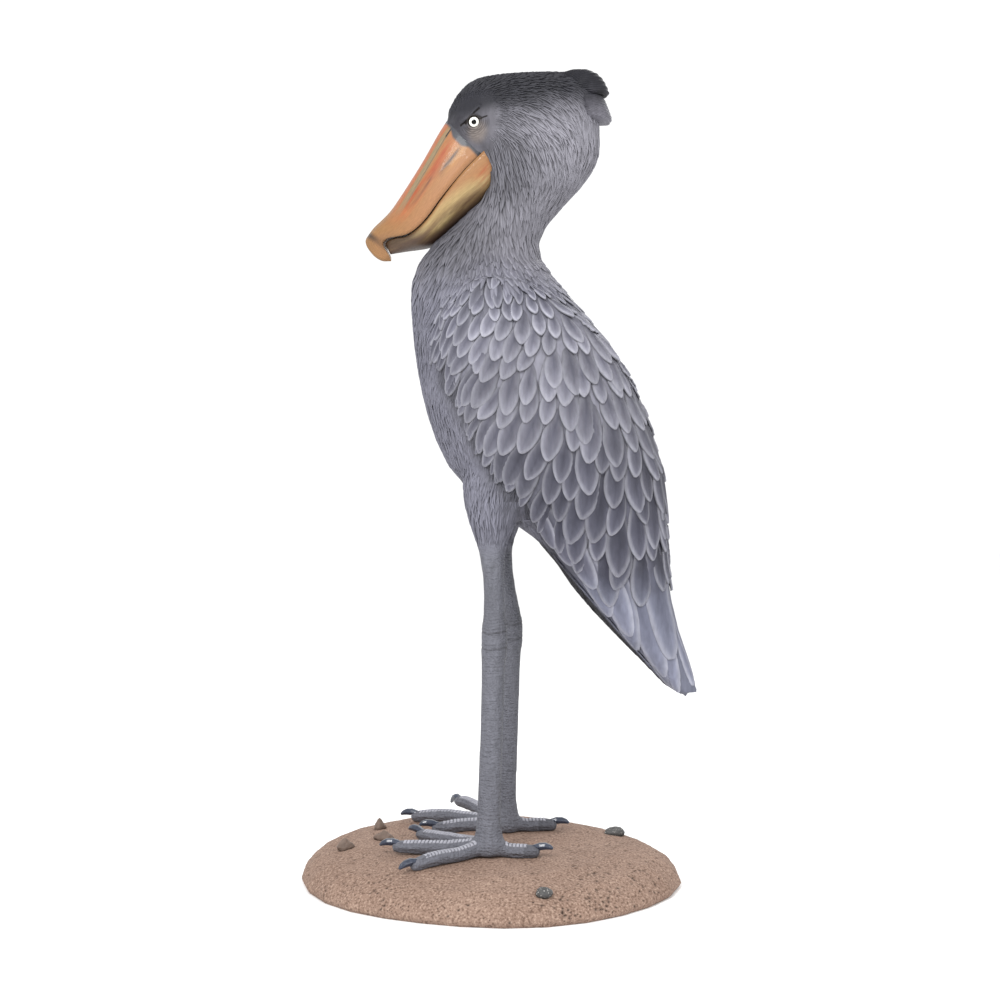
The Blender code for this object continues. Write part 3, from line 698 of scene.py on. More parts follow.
# Places on the bird in side view, in millimetres, and the way the feathers point there
LIE = [
    (-60, 1140, 0.45, 0.9), (-35, 1175, 0.85, 0.5), (0, 1190, 1, 0.1), (60, 1192, 1, 0),
    (120, 1186, 1, -0.15), (165, 1165, 0.85, -0.5), (160, 1120, 0.3, -1), (155, 1060, -0.25, -1),
    (-10, 1150, 0.95, 0.1), (10, 1125, 0.9, -0.35), (60, 1150, 0.95, -0.25), (40, 1105, 0.75, -0.65),
    (95, 1115, 0.75, -0.7), (110, 1060, 0.3, -0.95), (60, 1055, 0.3, -0.95), (20, 1060, 0.25, -0.97),
    (5, 1020, 0.0, -1), (60, 1000, 0.05, -1), (100, 1010, -0.35, -0.95), (-55, 960, -0.4, -0.92),
    (0, 950, -0.05, -1), (60, 950, 0.1, -1), (-100, 890, -0.3, -0.95), (-40, 880, -0.3, -0.95),
    (40, 880, 0.0, -1), (105, 880, 0.5, -0.87), (-105, 780, 0.1, -1), (-60, 820, -0.6, -0.8),
    (-55, 740, -0.65, -0.76), (0, 800, -0.52, -0.85), (0, 720, -0.58, -0.82), (20, 640, -0.55, -0.84),
    (60, 790, -0.36, -0.93), (75, 700, -0.5, -0.86), (80, 600, -0.48, -0.88), (140, 790, 0.15, -1),
    (150, 690, -0.1, -1), (150, 600, -0.22, -0.97), (200, 720, 0.2, -1), (225, 620, 0.05, -1),
    (140, 520, -0.2, -0.97), (200, 520, -0.05, -1), (240, 500, 0.05, -1), (-75, 680, 0.25, -0.97),
    (-40, 600, 0.3, -0.95), (0, 540, 0.1, -1), (30, 500, 0.0, -1), (150, 420, 0.5, -0.87),
    (230, 380, 0.4, -0.92), (280, 300, 0.4, -0.92),
]
lie_places = np.array([row[:2] for row in LIE]) * MM
lie_ways = np.array([row[2:] for row in LIE])


def lie_at(point):
    gaps = ((lie_places - (point.x, point.z)) ** 2).sum(1) + 4e-5
    way = (gaps**-1.6) @ lie_ways
    return Vector((way[0], 0, way[1])).normalized()


def new_piece():
    return {"points": [], "faces": [], "rim": [], "tone": [], "depth": [], "barb": [], "map": []}


def add_point(piece, spot, rim, tone, depth, barb, corner, aside, along):
    """One point of the coat, with its paint values and its place in its own patch of the unwrap."""
    piece["points"].append(spot)
    piece["rim"].append(rim)
    piece["tone"].append(tone)
    piece["depth"].append(depth)
    piece["barb"].append(barb)
    piece["map"].append((corner[0] + PATCH_WIDTH / 2 * aside, corner[1] + PATCH_LENGTH * along))


def add_grid(piece, first, rows, columns):
    """The faces between rows of points."""
    for row in range(rows - 1):
        for column in range(columns - 1):
            a = first + row * columns + column
            piece["faces"].append((a, a + 1, a + 1 + columns, a + columns))


def lay_plume(piece, root, way, size, form, tone, lift_by=0.0, tilt=0.0, shade=0.0, bend=0.0, contrast=1.0):
    """Lays one feather on the outline from its root along its way, and adds it to a piece."""
    length, width = size
    spot, normal, face, _ = outline.find_nearest(root)
    corner = face_places[face]
    heading = (way - normal * way.dot(normal)).normalized()
    first = len(piece["points"])
    walled = form.skirt > 0
    across = (form.columns[0],) + form.columns + (form.columns[-1],) if walled else form.columns
    all_rows = form.rows + 1 + walled
    along_before = 0.0
    for row in range(all_rows):
        closing = row > form.rows
        t = min(0.985, 1 - (1 - min(row, form.rows) / form.rows) ** 1.25)
        along = t * length
        if row and not closing:
            heading = (heading + normal.cross(heading) * (bend / form.rows)).normalized()
            spot, normal, _, _ = outline.find_nearest(spot + heading * (along - along_before))
            heading = (heading - normal * heading.dot(normal)).normalized()
        along_before = along
        side = normal.cross(heading)
        slim_root = 0.55 + 0.45 * min(1, t / 0.4)
        slim_tip = max(0.0, 1 - max(0.0, (t - 0.40) / 0.60) ** form.point) ** 0.62
        half = width / 2 * slim_root * slim_tip
        lead = 0.8 * (1 - t**2) if form.barb else 0.0
        lift = form.sink + (form.rise - form.sink) * min(1.0, t / 0.92) ** 0.8
        lift -= form.fall * max(0.0, (t - 0.8) / 0.2) ** 2
        for column, s in enumerate(across):
            base, up = spot + side * (s * half) + heading * (abs(s) * half * lead), normal
            if form.wrap:
                base, up, _, _ = outline.find_nearest(base)
            height = lift - form.dome * s * s * (1 if walled else contrast) + tilt * s + lift_by
            edge_gap = min(half * (1 - abs(s)), (1 - t) * length)
            rim = math.exp(-((edge_gap / (0.19 * width)) ** 2))
            border = walled and (column in (0, len(across) - 1) or closing)
            if border:
                height -= form.skirt
                base = base + side * (s * SKIRT_SPREAD) + heading * (SKIRT_SPREAD * closing)
            elif form.barb:
                height += form.barb * (1 if row % 2 else -1) * (0.2 < abs(s) < 0.8) + 0.2 * rim
                height += 0.35 * (1 - t) * (s == 0)
            # The depth value is painted shade: darker towards the sunk root, under the tips that lap over it,
            # darkest on the skirt walls, and more where the shade argument asks
            if walled:
                core = (1 - abs(s) ** 1.4) * math.sin(math.pi * min(1.0, 0.12 + t * 0.88))
                pale = contrast * (0.6 * rim - core * (1 - rim))
                dark = 1.3 if border else 0.8 * (1 - t) ** 2 + shade
            else:
                pale = contrast * (0.42 * (1 - abs(s)) - 0.12)
                dark = 0.8 * (1 - t) ** 2 + 0.8 * contrast * s * s + shade
            barb = along - 0.8 * abs(s) * half if form.barb else 0.0
            add_point(piece, base + up * height * MM, pale, tone, dark, barb, corner, s, t - 0.5)
    add_grid(piece, first, all_rows, len(across))


def make_coat(name, piece, *replaced):
    """The mesh of one piece of the coat."""
    mesh = bpy.data.meshes.new(name)
    mesh.from_pydata(piece["points"], [], piece["faces"])
    for title in ("rim", "tone", "depth", "barb"):
        store(mesh, title, piece[title])
    places = np.array(piece["map"], np.float32)
    corners = np.empty(len(mesh.loops), np.int32)
    mesh.loops.foreach_get("vertex_index", corners)
    mesh.uv_layers.new(name="OFBake").data.foreach_set("uv", places[corners].ravel())
    mesh.materials.append(feather_paint)
    made = bpy.data.objects.new(name, mesh)
    scene.collection.objects.link(made)
    give(made, "feather_paint", *replaced)


# Wings and mantle: rows of scales that grow from the shoulder down, from the wing's front edge to the back.
# Their scales are narrow along the front edge, where they run out into the strands of the breast.
# Height, and the middle of the body there, in millimetres
AXIS = [(1020, 45), (960, 10), (900, -10), (850, 5), (800, 25), (700, 70), (600, 108), (500, 163), (450, 182)]
AXIS += [(400, 208), (350, 238), (300, 268)]
# Height, and how far round from the bird's front the wing starts, in degrees
WING_FRONT = [(935, 96), (912, 78), (872, 58), (845, 54), (800, 49), (747, 44), (715, 46), (650, 47)]
WING_FRONT += [(613, 49), (582, 51), (542, 50), (525, 46), (506, 40), (469, 42), (430, 48), (388, 47)]
WING_FRONT += [(345, 53), (307, 61), (284, 63)]
WING_BACK = math.radians(181)
# Height, width, length and distance between rows, in millimetres
WING_ROWS = [(930, 8, 27, 9), (905, 10, 31, 11), (884, 13, 37, 14), (866, 18, 44, 18), (840, 23, 54, 23)]
WING_ROWS += [(787, 27, 66, 29), (700, 30, 76, 33), (592, 33, 88, 38), (490, 35, 94, 40)]
FIRST_ROW, LAST_ROW = 928.0, 500
# Height, and how far back the wing's front edge lies in side view, in millimetres
WING_EDGE = [(760, -76), (746, -70), (716, -54), (685, -41), (650, -28), (613, -6), (582, 19), (564, 34)]
WING_EDGE += [(542, 53), (525, 63), (506, 78), (484, 98), (465, 120), (430, 146), (388, 173), (340, 224)]
EDGE_GAP = 3
NARROWING = math.radians(34)
LOW_ROWS, LOW_START = 600, 8
LAP = 0.84
WING_TILT = -0.6
SHORTEST = 0.45
ROW_SPREAD, WAY_SPREAD, BEND_SPREAD = 0.28, 0.14, 0.22
SIZE_RANGE = (0.80, 1.16)
LIFT_RANGE = (0, 0.5)
EDGE_LIFT, EDGE_LIFT_TURN = 0.9, 0.15
EDGE_NARROW = 0.42
PLAIN_TOP, PLAIN_FADE, PLAINEST = 945, 95, 0.3
SMALL_ABOVE, UPPER_ABOVE = 860, 700
FAR_OUT = 0.45
TURNS = 60
random.seed(7)


def around_body(height, turn):
    """The outline at a height, seen from outside. Turn 0 is the bird's front, and positive to its left."""
    middle = Vector((from_table(AXIS, height / MM) * MM, 0, height))
    way = Vector((-math.cos(turn), -math.sin(turn), 0))
    return outline.ray_cast(middle + way * FAR_OUT, -way, FAR_OUT)[0]


def roots_round(height, start, end, spacing_at, shift):
    """Places on the outline at one height, spaced along it as its turn asks."""
    turns = np.linspace(start, end, TURNS)
    known = [(turn, hit) for turn, hit in ((turn, around_body(height, turn)) for turn in turns) if hit]
    lengths = np.cumsum([0.0] + [(b[1] - a[1]).length for a, b in zip(known, known[1:])])
    at = 0.0
    first = True
    while at < lengths[-1]:
        i = max(1, int(np.searchsorted(lengths, at)))
        share = (at - lengths[i - 1]) / max(1e-9, lengths[i] - lengths[i - 1])
        turn = known[i - 1][0] + (known[i][0] - known[i - 1][0]) * share
        if not first:
            yield known[i - 1][1].lerp(known[i][1], min(1, share)), turn
        at += spacing_at(turn) * (0.5 * shift if first else 1)
        first = False


def room_before_edge(root, way, length):
    """The share of a feather's length that ends behind the wing's front edge."""
    for share in (1.0, 0.88, 0.76, 0.64, 0.52):
        tip = (root + way * length * share) / MM
        if tip.z > WING_EDGE[0][0] or tip.x > from_table(WING_EDGE, tip.z) - EDGE_GAP:
            return share
    return 0.0


def cover_wing(side, sign):
    upper, lower = new_piece(), new_piece()
    height, row = FIRST_ROW, 0
    while height > LAST_ROW:
        tables = [[(entry[0], entry[k]) for entry in WING_ROWS] for k in (1, 2, 3)]
        width, length, pitch = (float(from_table(table, height)) for table in tables)
        start = math.radians(from_table(WING_FRONT, height) + LOW_START * (height < LOW_ROWS))

        def width_at(turn):
            share = min(1.0, (abs(turn) - start) / NARROWING)
            return width * MM * (EDGE_NARROW + (1 - EDGE_NARROW) * share)

        def spacing_at(turn):
            return LAP * width_at(turn)

        for root, turn in roots_round(height * MM, sign * start, sign * WING_BACK, spacing_at, row % 2):
            root = root + Vector((0, 0, random.uniform(-ROW_SPREAD, ROW_SPREAD) * pitch * MM))
            size = random.uniform(*SIZE_RANGE)
            way = (lie_at(root) + Vector((random.uniform(-WAY_SPREAD, WAY_SPREAD), 0, 0))).normalized()
            size *= room_before_edge(root, way, length * size * MM)
            if size < SHORTEST:
                continue
            form = SCALE if height < SMALL_ABOVE else SMALL_SCALE
            at_edge = max(0.0, 1 - (abs(turn) - start) / EDGE_LIFT_TURN)
            lifted = random.uniform(*LIFT_RANGE) + EDGE_LIFT * at_edge
            layer = upper if height > UPPER_ABOVE else lower
            sizes = (length * size * MM, width_at(turn) * size)
            plain = min(1.0, max(PLAINEST, (PLAIN_TOP - height) / PLAIN_FADE))
            tone = random.uniform(-1, 1)
            bend = random.uniform(-BEND_SPREAD, BEND_SPREAD)
            lay_plume(layer, root, way, sizes, form, tone, lifted, WING_TILT * sign, 0, bend, plain)
        height -= pitch
        row += 1
    make_coat(f"upper_coverts_{side}", upper)
    make_coat(f"lower_coverts_{side}", lower)


for side, sign in (("left", 1), ("right", -1)):
    cover_wing(side, sign)

# Flight feathers: long smooth vanes below the wing scales, that end in steps along the wing's lower edge,
# and five tail feathers on the back between them. They are carved on the casting like the scales.
# Each row is the root, the tip and the width of one vane, in side view in millimetres
FLIGHT_VANES = [
    ((240, 515), (297, 338), 46), ((70, 560), (98, 486), 26), ((92, 548), (122, 462), 34),
    ((112, 535), (150, 426), 36), ((130, 515), (177, 386), 38), ((158, 512), (208, 358), 38),
    ((176, 512), (226, 338), 40), ((194, 512), (266, 299), 42), ((208, 514), (291, 280), 42),
    ((222, 514), (299, 281), 38), ((236, 514), (304, 286), 34),
]
FLIGHT_SINK, FLIGHT_STEP = -0.7, 0.22
FLIGHT_CONTRAST = 0.8
TAIL_ACROSS = (-26, 26, -13, 13, 0)
TAIL_ROOT, TAIL_TIP, TAIL_WIDTH = (302, 505), (310, 292), 30
TAIL_SINK, TAIL_STEP = -1.4, 0.2
TONE_SPREAD = 0.6


def lay_vane(piece, spot, way, length, width, lifted):
    tone = random.uniform(-TONE_SPREAD, TONE_SPREAD)
    lay_plume(piece, spot, way, (length, width * MM), FLIGHT, tone, lifted, contrast=FLIGHT_CONTRAST)


def lay_flight(side, sign):
    piece = new_piece()
    for number, (root, tip, width) in enumerate(FLIGHT_VANES):
        start, end = Vector((root[0], 0, root[1])) * MM, Vector((tip[0], 0, tip[1])) * MM
        outside = Vector((start.x, -sign * FAR_OUT, start.z))
        spot = outline.ray_cast(outside, Vector((0, sign, 0)), 2 * FAR_OUT)[0]
        spot = spot or outline.find_nearest(start)[0]
        lifted = FLIGHT_SINK + FLIGHT_STEP * (len(FLIGHT_VANES) - 1 - number)
        lay_vane(piece, spot, (end - start).normalized(), (end - start).length, width, lifted)
    make_coat(f"flight_vanes_{side}", piece)


for side, sign in (("left", 1), ("right", -1)):
    lay_flight(side, sign)
tail_vanes = new_piece()
for number, off in enumerate(TAIL_ACROSS):
    spot = outline.find_nearest(Vector((TAIL_ROOT[0], off, TAIL_ROOT[1])) * MM)[0]
    end = Vector((TAIL_TIP[0] - 0.25 * abs(off), off * 0.6, TAIL_TIP[1])) * MM
    lifted = TAIL_SINK + TAIL_STEP * number
    lay_vane(tail_vanes, spot, (end - spot).normalized(), (end - spot).length, TAIL_WIDTH, lifted)
make_coat("tail_vanes", tail_vanes)

# Fine plumage of head, neck, breast, belly and thighs: narrow ridged strands that lie close together,
# shortest on the crown and round the face, and long on the cheeks, neck and undertail. They are carved
# shallower than the wing scales and lie over the skin's own surface.
FACE_RADIUS = 0.0195
LORE_LINE = [(-68.0, 1124.4), (1.7, 1076.7)]
LORE_WIDTH, LORE_TOP = 11, 1150
BILL_CLEAR = 0.006
NECK_TOP, BREAST_LOW, THIGH_LOW = 1035, 500, 458
STRAND_GAP_ACROSS, STRAND_GAP_ALONG = 0.50, 0.34
STRAND_CELL = 0.010
STRAND_SIZES, STRAND_LIFTS, STRAND_BEND = (0.85, 1.15), (-0.25, 0.2), 0.35
STRAY_ACROSS, STRAY_ALONG = 0.07, 0.04
ROOT_BACK = 0.3
# How strongly each kind's rims and hollows are carved and painted
CONTRAST = {"head": 0.9, "neck": 0.45, "breast": 0.38, "thighs": 0.3, "undertail": 0.8}


def share_of(value, start, reach):
    return min(1, max(0, (value - start) / reach))


def head_strand(point, x, z):
    on_lore = distance_to_line(np.array([(x, z)]), LORE_LINE)[0] < LORE_WIDTH and z < LORE_TOP
    if on_lore or near_eye(point, FACE_RADIUS) or bill_gap(point) < BILL_CLEAR:
        return None
    high = share_of(z - 0.12 * x, 1108, 45)
    face = share_of(math.hypot(x + 16, z - 1112), 24, 62) if z < 1160 else 1.0
    crested = share_of(x, 100, 40) * (z > 1110)
    width = (4.2 - 1.6 * high) * (0.55 + 0.45 * face) + 1.0 * crested
    length = (38 - 22 * high) * (0.36 + 0.64 * face) + 5 * crested
    return "head", width, length, -0.35 * high - 0.9 * (1 - face) - 0.8 * crested, 0.0


def neck_strand(point, z, beyond_wing):
    """Strands of the neck, which thin out over the wing's shoulder."""
    if bill_gap(point) < BILL_CLEAR:
        return None
    low = min(1, (NECK_TOP - z) / 150)
    thinned = 0.5 + noise.noise(point * 330) > (z - 868) / 50
    if thinned and z < 918 and beyond_wing > 5:
        return None
    over_shoulder = 1.1 * max(0, (920 - z) / 50) * (beyond_wing > 0)
    return "neck", 3.7 + 3.8 * low, 30 + 6 * low, -0.4 * low + over_shoulder, 0.0


def strand_at(point):
    """The kind, width, length, lift and shade of the strand at a place, or nothing where it is bare."""
    x, y, z = point / MM
    if z > NECK_TOP:
        return head_strand(point, x, z)
    turn = math.degrees(math.atan2(abs(y), from_table(AXIS, z) - x))
    beyond_wing = turn - from_table(WING_FRONT, z)
    if z > 868 + 10 * math.sin(x * 0.13) + 6 * math.sin(x * 0.31 + y * 0.2):
        return neck_strand(point, z, beyond_wing)
    if z < 520 and x < 66:
        return ("thighs", 3.0, 26, -1.15, 0.0) if z > THIGH_LOW else None
    if z > BREAST_LOW:
        if beyond_wing > 7:
            return None
        beside_wing = share_of(beyond_wing, -10, 10) * (z < 800)
        return "breast", 3.5, 34, -0.75 - 1.7 * beside_wing, 0.9 * beside_wing
    if x < 66:
        return None
    return ("undertail", 5.0, 40, -0.9, 0.0) if x < 83 + 0.85 * (BREAST_LOW - z) else None


def crowded(point, way, taken, home, width, length):
    """Whether a strand already grows nearer to a place than its width and length allow."""
    for i, j, k in itertools.product((-1, 0, 1), repeat=3):
        for other in taken.get((home[0] + i, home[1] + j, home[2] + k), ()):
            step = other - point
            along = step.dot(way)
            aside = (step - way * along).length
            if (along / (STRAND_GAP_ALONG * length)) ** 2 + (aside / (STRAND_GAP_ACROSS * width)) ** 2 < 1:
                return True
    return False


taken = {}
strands = {}
for index in np.random.default_rng(11).permutation(len(outline_middles)):
    point = outline_middles[index]
    kind = strand_at(point)
    if not kind:
        continue
    name, width, length, lift, shade = kind
    way = lie_at(point)
    home = tuple(int(value // STRAND_CELL) for value in point)
    if crowded(point, way, taken, home, width * MM, length * MM):
        continue
    taken.setdefault(home, []).append(point)
    piece = strands.setdefault(f"{name}_strands_" + ("left" if point.y < 0 else "right"), new_piece())
    size = random.uniform(*STRAND_SIZES)
    stray = random.uniform(-STRAY_ACROSS, STRAY_ACROSS)
    way = way + Vector((stray, 0, random.uniform(-STRAY_ALONG, STRAY_ALONG)))
    root = point - way.normalized() * length * ROOT_BACK * MM
    lifted = lift + random.uniform(*STRAND_LIFTS)
    bend = random.uniform(-STRAND_BEND, STRAND_BEND)
    tone = random.uniform(-1, 1)
    sizes = (length * size * MM, width * size * MM)
    lay_plume(piece, root, way, sizes, STRAND, tone, lifted, 0, shade, bend, CONTRAST[name])
for name, piece in strands.items():
    make_coat(name, piece)

# Crest: a tuft on the back of the crown, carved as two combed lobes, the upper one lapping over the lower.
# Each lobe is a closed body with wavy combed lines that run from its roots out to its rim.
# It is its half width, the line of its roots and the rim it ends on, in side view in millimetres.
LOWER_RIM = [(164, 1158), (170, 1148), (175.5, 1134), (179.5, 1122), (176, 1116.5), (162, 1116)]
UPPER_RIM = [(110, 1190.5), (131, 1194.5), (147, 1193.5), (159, 1187.5), (166.5, 1180), (171.5, 1171)]
UPPER_RIM += [(175.5, 1160.5), (172.5, 1155.5), (163, 1155)]
LOBES = [(35, [(126, 1160), (138, 1118)], LOWER_RIM), (30, [(92, 1185), (128, 1152)], UPPER_RIM)]
COMBS = 24
COMB_STEPS = 6
COMB_DEPTH = 0.55
LOBE_ROWS = 22
NOTCH, NOTCH_REACH = (166, 1156), 6


def on_line(line, share):
    """The place at a share of a line's length."""
    places = np.array(line, float)
    reach = np.insert(np.cumsum(np.linalg.norm(np.diff(places, axis=0), axis=1)), 0, 0)
    return np.array([np.interp(share * reach[-1], reach, places[:, k]) for k in (0, 1)])


crest = new_piece()
count = COMBS * COMB_STEPS
ring = [(k / count, 1) for k in range(count)] + [(k / count, -1) for k in range(count, 0, -1)]
for half_width, roots, rim_line in LOBES:
    first = len(crest["points"])
    corners = {}
    for row in range(LOBE_ROWS + 1):
        t = 1 - (1 - row / LOBE_ROWS) ** 1.6
        for share, side in ring:
            root, end = on_line(roots, share), on_line(rim_line, share)
            sway = 2.4 * math.sin(5 * t + 11 * share) + 1.2 * math.sin(9 * t + 29 * share)
            comb = math.sin(math.tau * COMBS * share + sway)
            uneven = 1 + 0.010 * math.sin(math.pi * COMBS * share)
            x, z = root + (end - root) * t * uneven
            rounded = math.sqrt((1 - abs(2 * share - 1) ** 3) * (1 - t**4))
            spread = rounded * (0.74 + 0.26 * min(1, t / 0.35))
            strip = (int(share * COMBS), side)
            if strip not in corners:
                beside = Vector((root[0], side * spread * half_width, root[1])) * MM
                corners[strip] = face_places[outline.find_nearest(beside)[2]]
            spot = Vector((x, side * spread * (half_width + COMB_DEPTH * comb), z)) * MM
            # Painted shade darkens the notch where the upper lobe laps over the lower
            in_notch = math.exp(-((math.dist((x, z), NOTCH) / NOTCH_REACH) ** 2))
            pale, dark = 0.13 * comb - 0.28, 0.2 + 0.9 * in_notch - 0.15 * comb
            tone = 0.5 * math.sin(17 * share)
            aside = 2 * (share * COMBS % 1) - 1
            add_point(crest, spot, pale, tone, dark, 0.0, corners[strip], aside, t - 0.5)
    for row in range(LOBE_ROWS):
        for k in range(len(ring)):
            a, b = first + row * len(ring) + k, first + row * len(ring) + (k + 1) % len(ring)
            crest["faces"].append((a, a + len(ring), b + len(ring), b))
make_coat("crest_lobes", crest, "crest")

# Bill: a cast and painted shell in two halves, the upper one with a ridge, a groove beside it and a hook.
# Both are swept through the sections of the real bill, given along and square to the line from gape to
# tip. The paint is horn-coloured, with streaks brushed along the bill over it, and a light satin sheen.
GAPE_CORNER = Vector((1.7, 0, 1076.7)) * MM
BILL_ALONG = Vector((-0.565, 0, -0.825)).normalized()
BILL_UP = Vector((BILL_ALONG.z, 0, -BILL_ALONG.x))
# Where each section meets the ridge and the floor, along and up, and half its width, in millimetres
UPPER_SECTIONS = [
    (-6, 84.1, 12, 1.6, 45.0), (0, 84.5, 18, 2.9, 46.9), (24, 84, 40, 8.1, 48.6),
    (58, 81.6, 72, 12.1, 49.8), (92, 80.4, 101, 15.3, 48.5), (124, 80, 128, 17.3, 45.5),
    (152, 80.8, 150, 22, 41), (171, 84.3, 168, 31, 36), (187, 88.2, 180, 44, 31),
    (200, 89.2, 189, 55.5, 25), (210.5, 88.6, 196, 60, 19), (217, 82, 201, 59, 14.5),
    (221, 72, 204, 55, 11.5), (223, 61, 206.5, 50, 9), (221.5, 50, 209, 44.5, 6.5),
    (214.5, 39, 214.5, 39, 0.4),
]
LOWER_SECTIONS = [
    (-2, -1.5, 36, -42, 46), (18, 2.8, 52, -40, 48), (41, 7.6, 72, -33, 48.5), (66, 11.0, 92, -25, 48.5),
    (97, 14.2, 115, -17, 46.3), (126, 16.1, 136, -10.5, 42.5), (147, 20.6, 154, -4, 38),
    (161, 26.6, 167, 4, 32.5), (173, 34.5, 178, 15, 26), (183, 48, 189, 27, 18.5),
    (191, 56.5, 198, 36.5, 12), (198, 59, 205, 44, 7), (199.5, 57.5, 206.5, 45.5, 4.5),
]
ROWS_PER_SECTION = 9
VAULT_POINTS = 97
FLOOR_POINTS = 22
FLOOR_RISE = 0.09
FLOOR_MARK = -4.0
RIDGE_HALF_WIDTH = 7.5
RIDGE_HEIGHT = 2.6
RIDGE_EASE = 0.6
RIDGE_FULL_AT = 30
GROOVE_GAP = 22.5
GROOVE_DEPTH = 1.1
GROOVE_WIDTH = 1.2
GROOVE_END, GROOVE_FADE = 168, 25
RIM_ROLL, RIM_HEIGHT = 0.35, 2.2


def swept(sections):
    """The sections with smoothly eased ones between them."""
    table = np.array(sections, float)
    table = np.vstack([2 * table[0] - table[1], table, 2 * table[-1] - table[-2]])
    rows = []
    for i in range(1, len(table) - 2):
        a, b, c, d = table[i - 1 : i + 3]
        for step in range(ROWS_PER_SECTION):
            t = step / ROWS_PER_SECTION
            eased = 2 * b + (c - a) * t + (2 * a - 5 * b + 4 * c - d) * t**2 + (3 * b - a - 3 * c + d) * t**3
            rows.append(0.5 * eased)
    rows.append(table[-2])
    return rows


def bill_ring(ridge, floor, half, upper):
    """Each point of a section: its rise, its place across, and how far it is from the ridge and the foot."""
    height = max(0.5, float(np.linalg.norm(ridge - floor)))
    keel = RIDGE_HEIGHT * min(1, half / RIDGE_FULL_AT) / height if upper else 0
    for k in range(VAULT_POINTS):
        angle = math.pi * (k / (VAULT_POINTS - 1) - 0.5)
        y = half * math.copysign(abs(math.sin(angle)) ** 0.86, angle)
        rise = max(0.0, math.cos(angle)) ** 0.62 * (1 - keel)
        if upper:
            rise += keel / (1 + math.exp((abs(y) - RIDGE_HALF_WIDTH) / RIDGE_EASE))
        from_ridge, from_foot = height * (1 - rise), height * rise
        if upper:
            along = floor[0] + (ridge[0] - floor[0]) * rise
            cut = GROOVE_DEPTH * math.exp(-((abs(from_ridge - GROOVE_GAP) / GROOVE_WIDTH) ** 2))
            y -= math.copysign(cut * share_of(GROOVE_END - along, 0, GROOVE_FADE) * min(1, height / 40), y)
        y += math.copysign(RIM_ROLL * math.exp(-((from_foot / RIM_HEIGHT) ** 2)) * min(1, half / 20), y)
        yield rise, y, from_ridge, from_foot
    for k in range(FLOOR_POINTS):
        share = (k + 1) / (FLOOR_POINTS + 1)
        rise = FLOOR_RISE * math.sin(math.pi * share)
        yield rise, half * (1 - 2 * share), height * (1 - rise), FLOOR_MARK


def make_bill(name, sections, upper):
    points, along, gap, foot, faces = [], [], [], [], []
    rows = swept(sections)
    for ridge_along, ridge_up, floor_along, floor_up, half in rows:
        ridge, floor = np.array((ridge_along, ridge_up)), np.array((floor_along, floor_up))
        if not upper:
            ridge, floor = floor, ridge
        for rise, y, from_ridge, from_foot in bill_ring(ridge, floor, max(0.2, half), upper):
            spot = floor + (ridge - floor) * rise
            in_plane = (BILL_ALONG * spot[0] + BILL_UP * spot[1]) * MM
            points.append(GAPE_CORNER + in_plane + Vector((0, y * MM, 0)))
            along.append(spot[0])
            gap.append(from_ridge)
            foot.append(from_foot)
    ring = VAULT_POINTS + FLOOR_POINTS
    for row in range(len(rows) - 1):
        for k in range(ring):
            a, b = row * ring + k, row * ring + (k + 1) % ring
            faces.append((a, a + ring, b + ring, b))
    faces.append(tuple(range(ring)))
    faces.append(tuple(reversed(range((len(rows) - 1) * ring, len(rows) * ring))))
    mesh = bpy.data.meshes.new(name + "_shell")
    mesh.from_pydata(points, [], faces)
    shape = bmesh.new()
    shape.from_mesh(mesh)
    bmesh.ops.recalc_face_normals(shape, faces=shape.faces)
    shape.to_mesh(mesh)
    shape.free()
    store(mesh, "along", along)
    store(mesh, "gap", gap)
    store(mesh, "foot", foot)
    store(mesh, "upper", [float(upper)] * len(along))
    mesh.materials.append(bill_paint)
    made = bpy.data.objects.new(name + "_shell", mesh)
    scene.collection.objects.link(made)
    give(made, "bill_paint", name)


BILL_TAN = (0.2485, 0.122, 0.0483, 1)
BILL_PEACH = (0.2746, 0.132, 0.059, 1)
BILL_RED = (0.248, 0.053, 0.018, 1)
BILL_ORANGE = (0.307, 0.098, 0.037, 1)
BILL_GREEN = (0.1804, 0.1465, 0.0842, 1)
BILL_YELLOW = (0.353, 0.2652, 0.1222, 1)
BILL_BROWN = (0.062, 0.034, 0.022, 1)
BILL_DARK = (0.022, 0.016, 0.014, 1)
BILL_GOLD = (0.40, 0.20, 0.06, 1)
BILL_OCHRE = (0.1867, 0.102, 0.0343, 1)
BILL_GREY = (0.040, 0.042, 0.050, 1)
STREAK_SLANT = 0.11
GREY_REACH = 7
BASE_SLANT = 0.22
